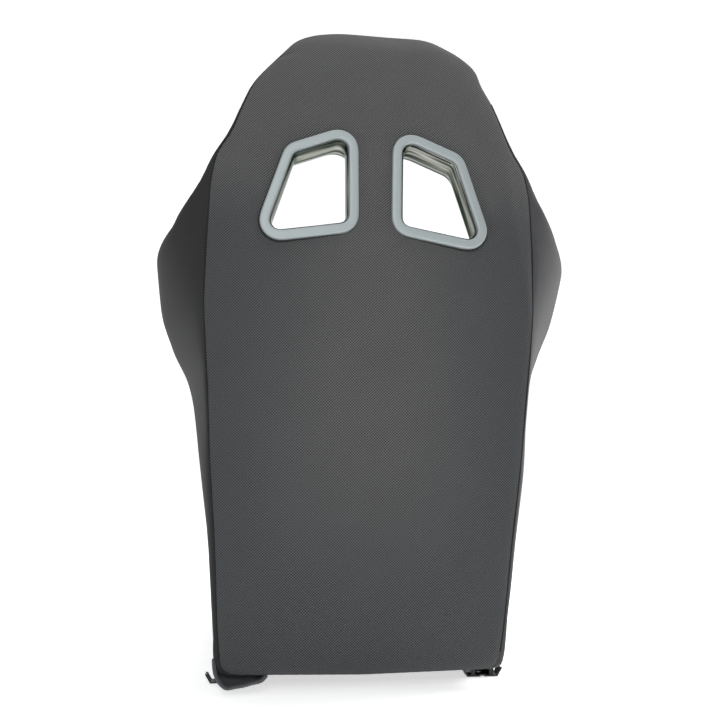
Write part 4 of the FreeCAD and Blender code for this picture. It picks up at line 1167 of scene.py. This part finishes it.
def base_skirt_panel(looks):
    """Cloth skirt round the sides and front of the base; its hem rises at the front."""
    path = list(SKIRT_SIDE)
    middle_x, middle_y, reach_x, reach_y = SKIRT_CORNER
    for angle in np.linspace(0, math.pi / 2, 9)[1:-1]:
        path.append((middle_x + reach_x * math.cos(angle), middle_y - reach_y * math.sin(angle)))
    half = resampled(path + SKIRT_FRONT, 90)
    line = np.concatenate([half, (half * np.array([-1.0, 1.0]))[::-1][1:]])
    share = np.linspace(0, 1, 22)[:, None]
    hem, top = [np.interp(line[:, 1], *zip(*table))[None] for table in (SKIRT_HEM, SKIRT_SEAM)]
    z = hem + (top - hem) * share
    tuck = 2.6 * bell(z, hem, 5.0) + 2.4 * bell(z, top, 4.0)
    along = travelled(line)
    wave = 1.4 * np.sin(along / 47.0) * np.sin(along / 131.0 + 0.6) * (1 - share)
    direction = np.gradient(line, axis=0)
    direction /= np.linalg.norm(direction, axis=1, keepdims=True)
    outward = np.column_stack([-direction[:, 1], direction[:, 0]])
    outward *= np.sign(outward[0, 0])
    offset = (-tuck - 1.2 + wave)[..., None] * outward[None]
    outer = np.concatenate([line[None] + offset, z[..., None]], axis=2)
    inner = np.concatenate([line[None] + offset - 2.6 * outward[None], z[..., None]], axis=2)
    piece = slab("base_skirt_panel", outer, inner)
    # The whole skirt gets the side fabric's copy that is painted darker, as painted shade.
    dress(piece, looks["side_left"])
    return place(piece, "seat", "skirt_fabric", "base_skirt")


# ---- the rest of the scene ----
def paint_kept_nodes(looks):
    """Materials for the CAD nodes that stay visible."""
    for look, prefixes in KEPT_LOOKS.items():
        for name, node in frame["nodes"].items():
            if name.startswith(tuple(prefixes)):
                dress(node, looks[look])


def camera():
    """The photo's camera: low behind the seat, turned and tilted upwards a little."""
    forward = np.array([-math.sin(CAMERA_YAW) * math.cos(CAMERA_PITCH),
                        -math.cos(CAMERA_YAW) * math.cos(CAMERA_PITCH), math.sin(CAMERA_PITCH)])
    right = np.cross(forward, [0.0, 0.0, 1.0])
    right /= np.linalg.norm(right)
    up = np.cross(right, forward)
    data = bpy.data.cameras.new("camera")
    data.lens = CAMERA_LENS
    data.sensor_width = 36.0
    data.clip_start = 0.01
    data.clip_end = 100.0
    eye = bpy.data.objects.new("camera", data)
    matrix = np.eye(4)
    matrix[:3, 0] = math.cos(CAMERA_ROLL) * right + math.sin(CAMERA_ROLL) * up
    matrix[:3, 1] = math.cos(CAMERA_ROLL) * up - math.sin(CAMERA_ROLL) * right
    matrix[:3, 2] = -forward
    matrix[:3, 3] = CAMERA_PLACE
    eye.matrix_world = Matrix(matrix.tolist())
    bpy.context.scene.collection.objects.link(eye)
    bpy.context.scene.camera = eye


def area_light(name, place_at, target, side, power, tint):
    data = bpy.data.lights.new(name, "AREA")
    data.shape = "RECTANGLE"
    data.size = side
    data.size_y = side
    data.energy = power
    data.color = tint
    lamp = bpy.data.objects.new(name, data)
    lamp.location = place_at
    direction = Vector(target) - Vector(place_at)
    lamp.rotation_euler = direction.to_track_quat("-Z", "Y").to_euler()
    bpy.context.scene.collection.objects.link(lamp)


def room(looks):
    """Pale floor that rises into a pale wall without a corner, and soft lights."""
    size, radius, height = 9.0, 3.0, 16.0
    profile = [(size, 0.0), (radius - size, 0.0)]
    for angle in np.linspace(0, math.pi / 2, 13)[1:]:
        profile.append((radius - size - radius * math.sin(angle), radius - radius * math.cos(angle)))
    profile.append((-size, height))
    vertices = [(x, y, z) for y, z in profile for x in (-size * 1.5, size * 1.5)]
    mesh = bpy.data.meshes.new("studio_floor")
    mesh.from_pydata(vertices, [], quads(len(profile), 2))
    mesh.polygons.foreach_set("use_smooth", np.ones(len(mesh.polygons), bool))
    floor = bpy.data.objects.new("studio_floor", mesh)
    floor.location = (0, 0, -0.0005)
    bpy.context.scene.collection.objects.link(floor)
    dress(floor, looks["floor"])
    world = bpy.data.worlds.new("pale_room")
    world.use_nodes = True
    background = world.node_tree.nodes["Background"]
    background.inputs["Color"].default_value = WORLD_COLOR
    background.inputs["Strength"].default_value = WORLD_STRENGTH
    bpy.context.scene.world = world
    for light in LIGHTS:
        area_light(*light)
    bpy.context.scene.view_settings.view_transform = "Standard"


# ---- build ----
def main():
    looks = make_materials()
    lines = rim_lines(150)
    rear_cover_panel(lines, looks)
    hem_fold(looks)
    skin = side_rims(lines, looks)
    rim_piping(skin, looks)
    rear_seams(lines, looks)
    back_centre_pad(lines, looks)
    slot_trim(looks)
    seat_cushion_pad(looks)
    strap_slot_ring(looks)
    thigh_pads(looks)
    base_skirt_panel(looks)
    paint_kept_nodes(looks)
    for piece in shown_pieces():
        if "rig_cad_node" not in piece and piece.type == "MESH":
            piece.data.set_sharp_from_angle(angle=math.radians(55))
    room(looks)
    camera()


main()
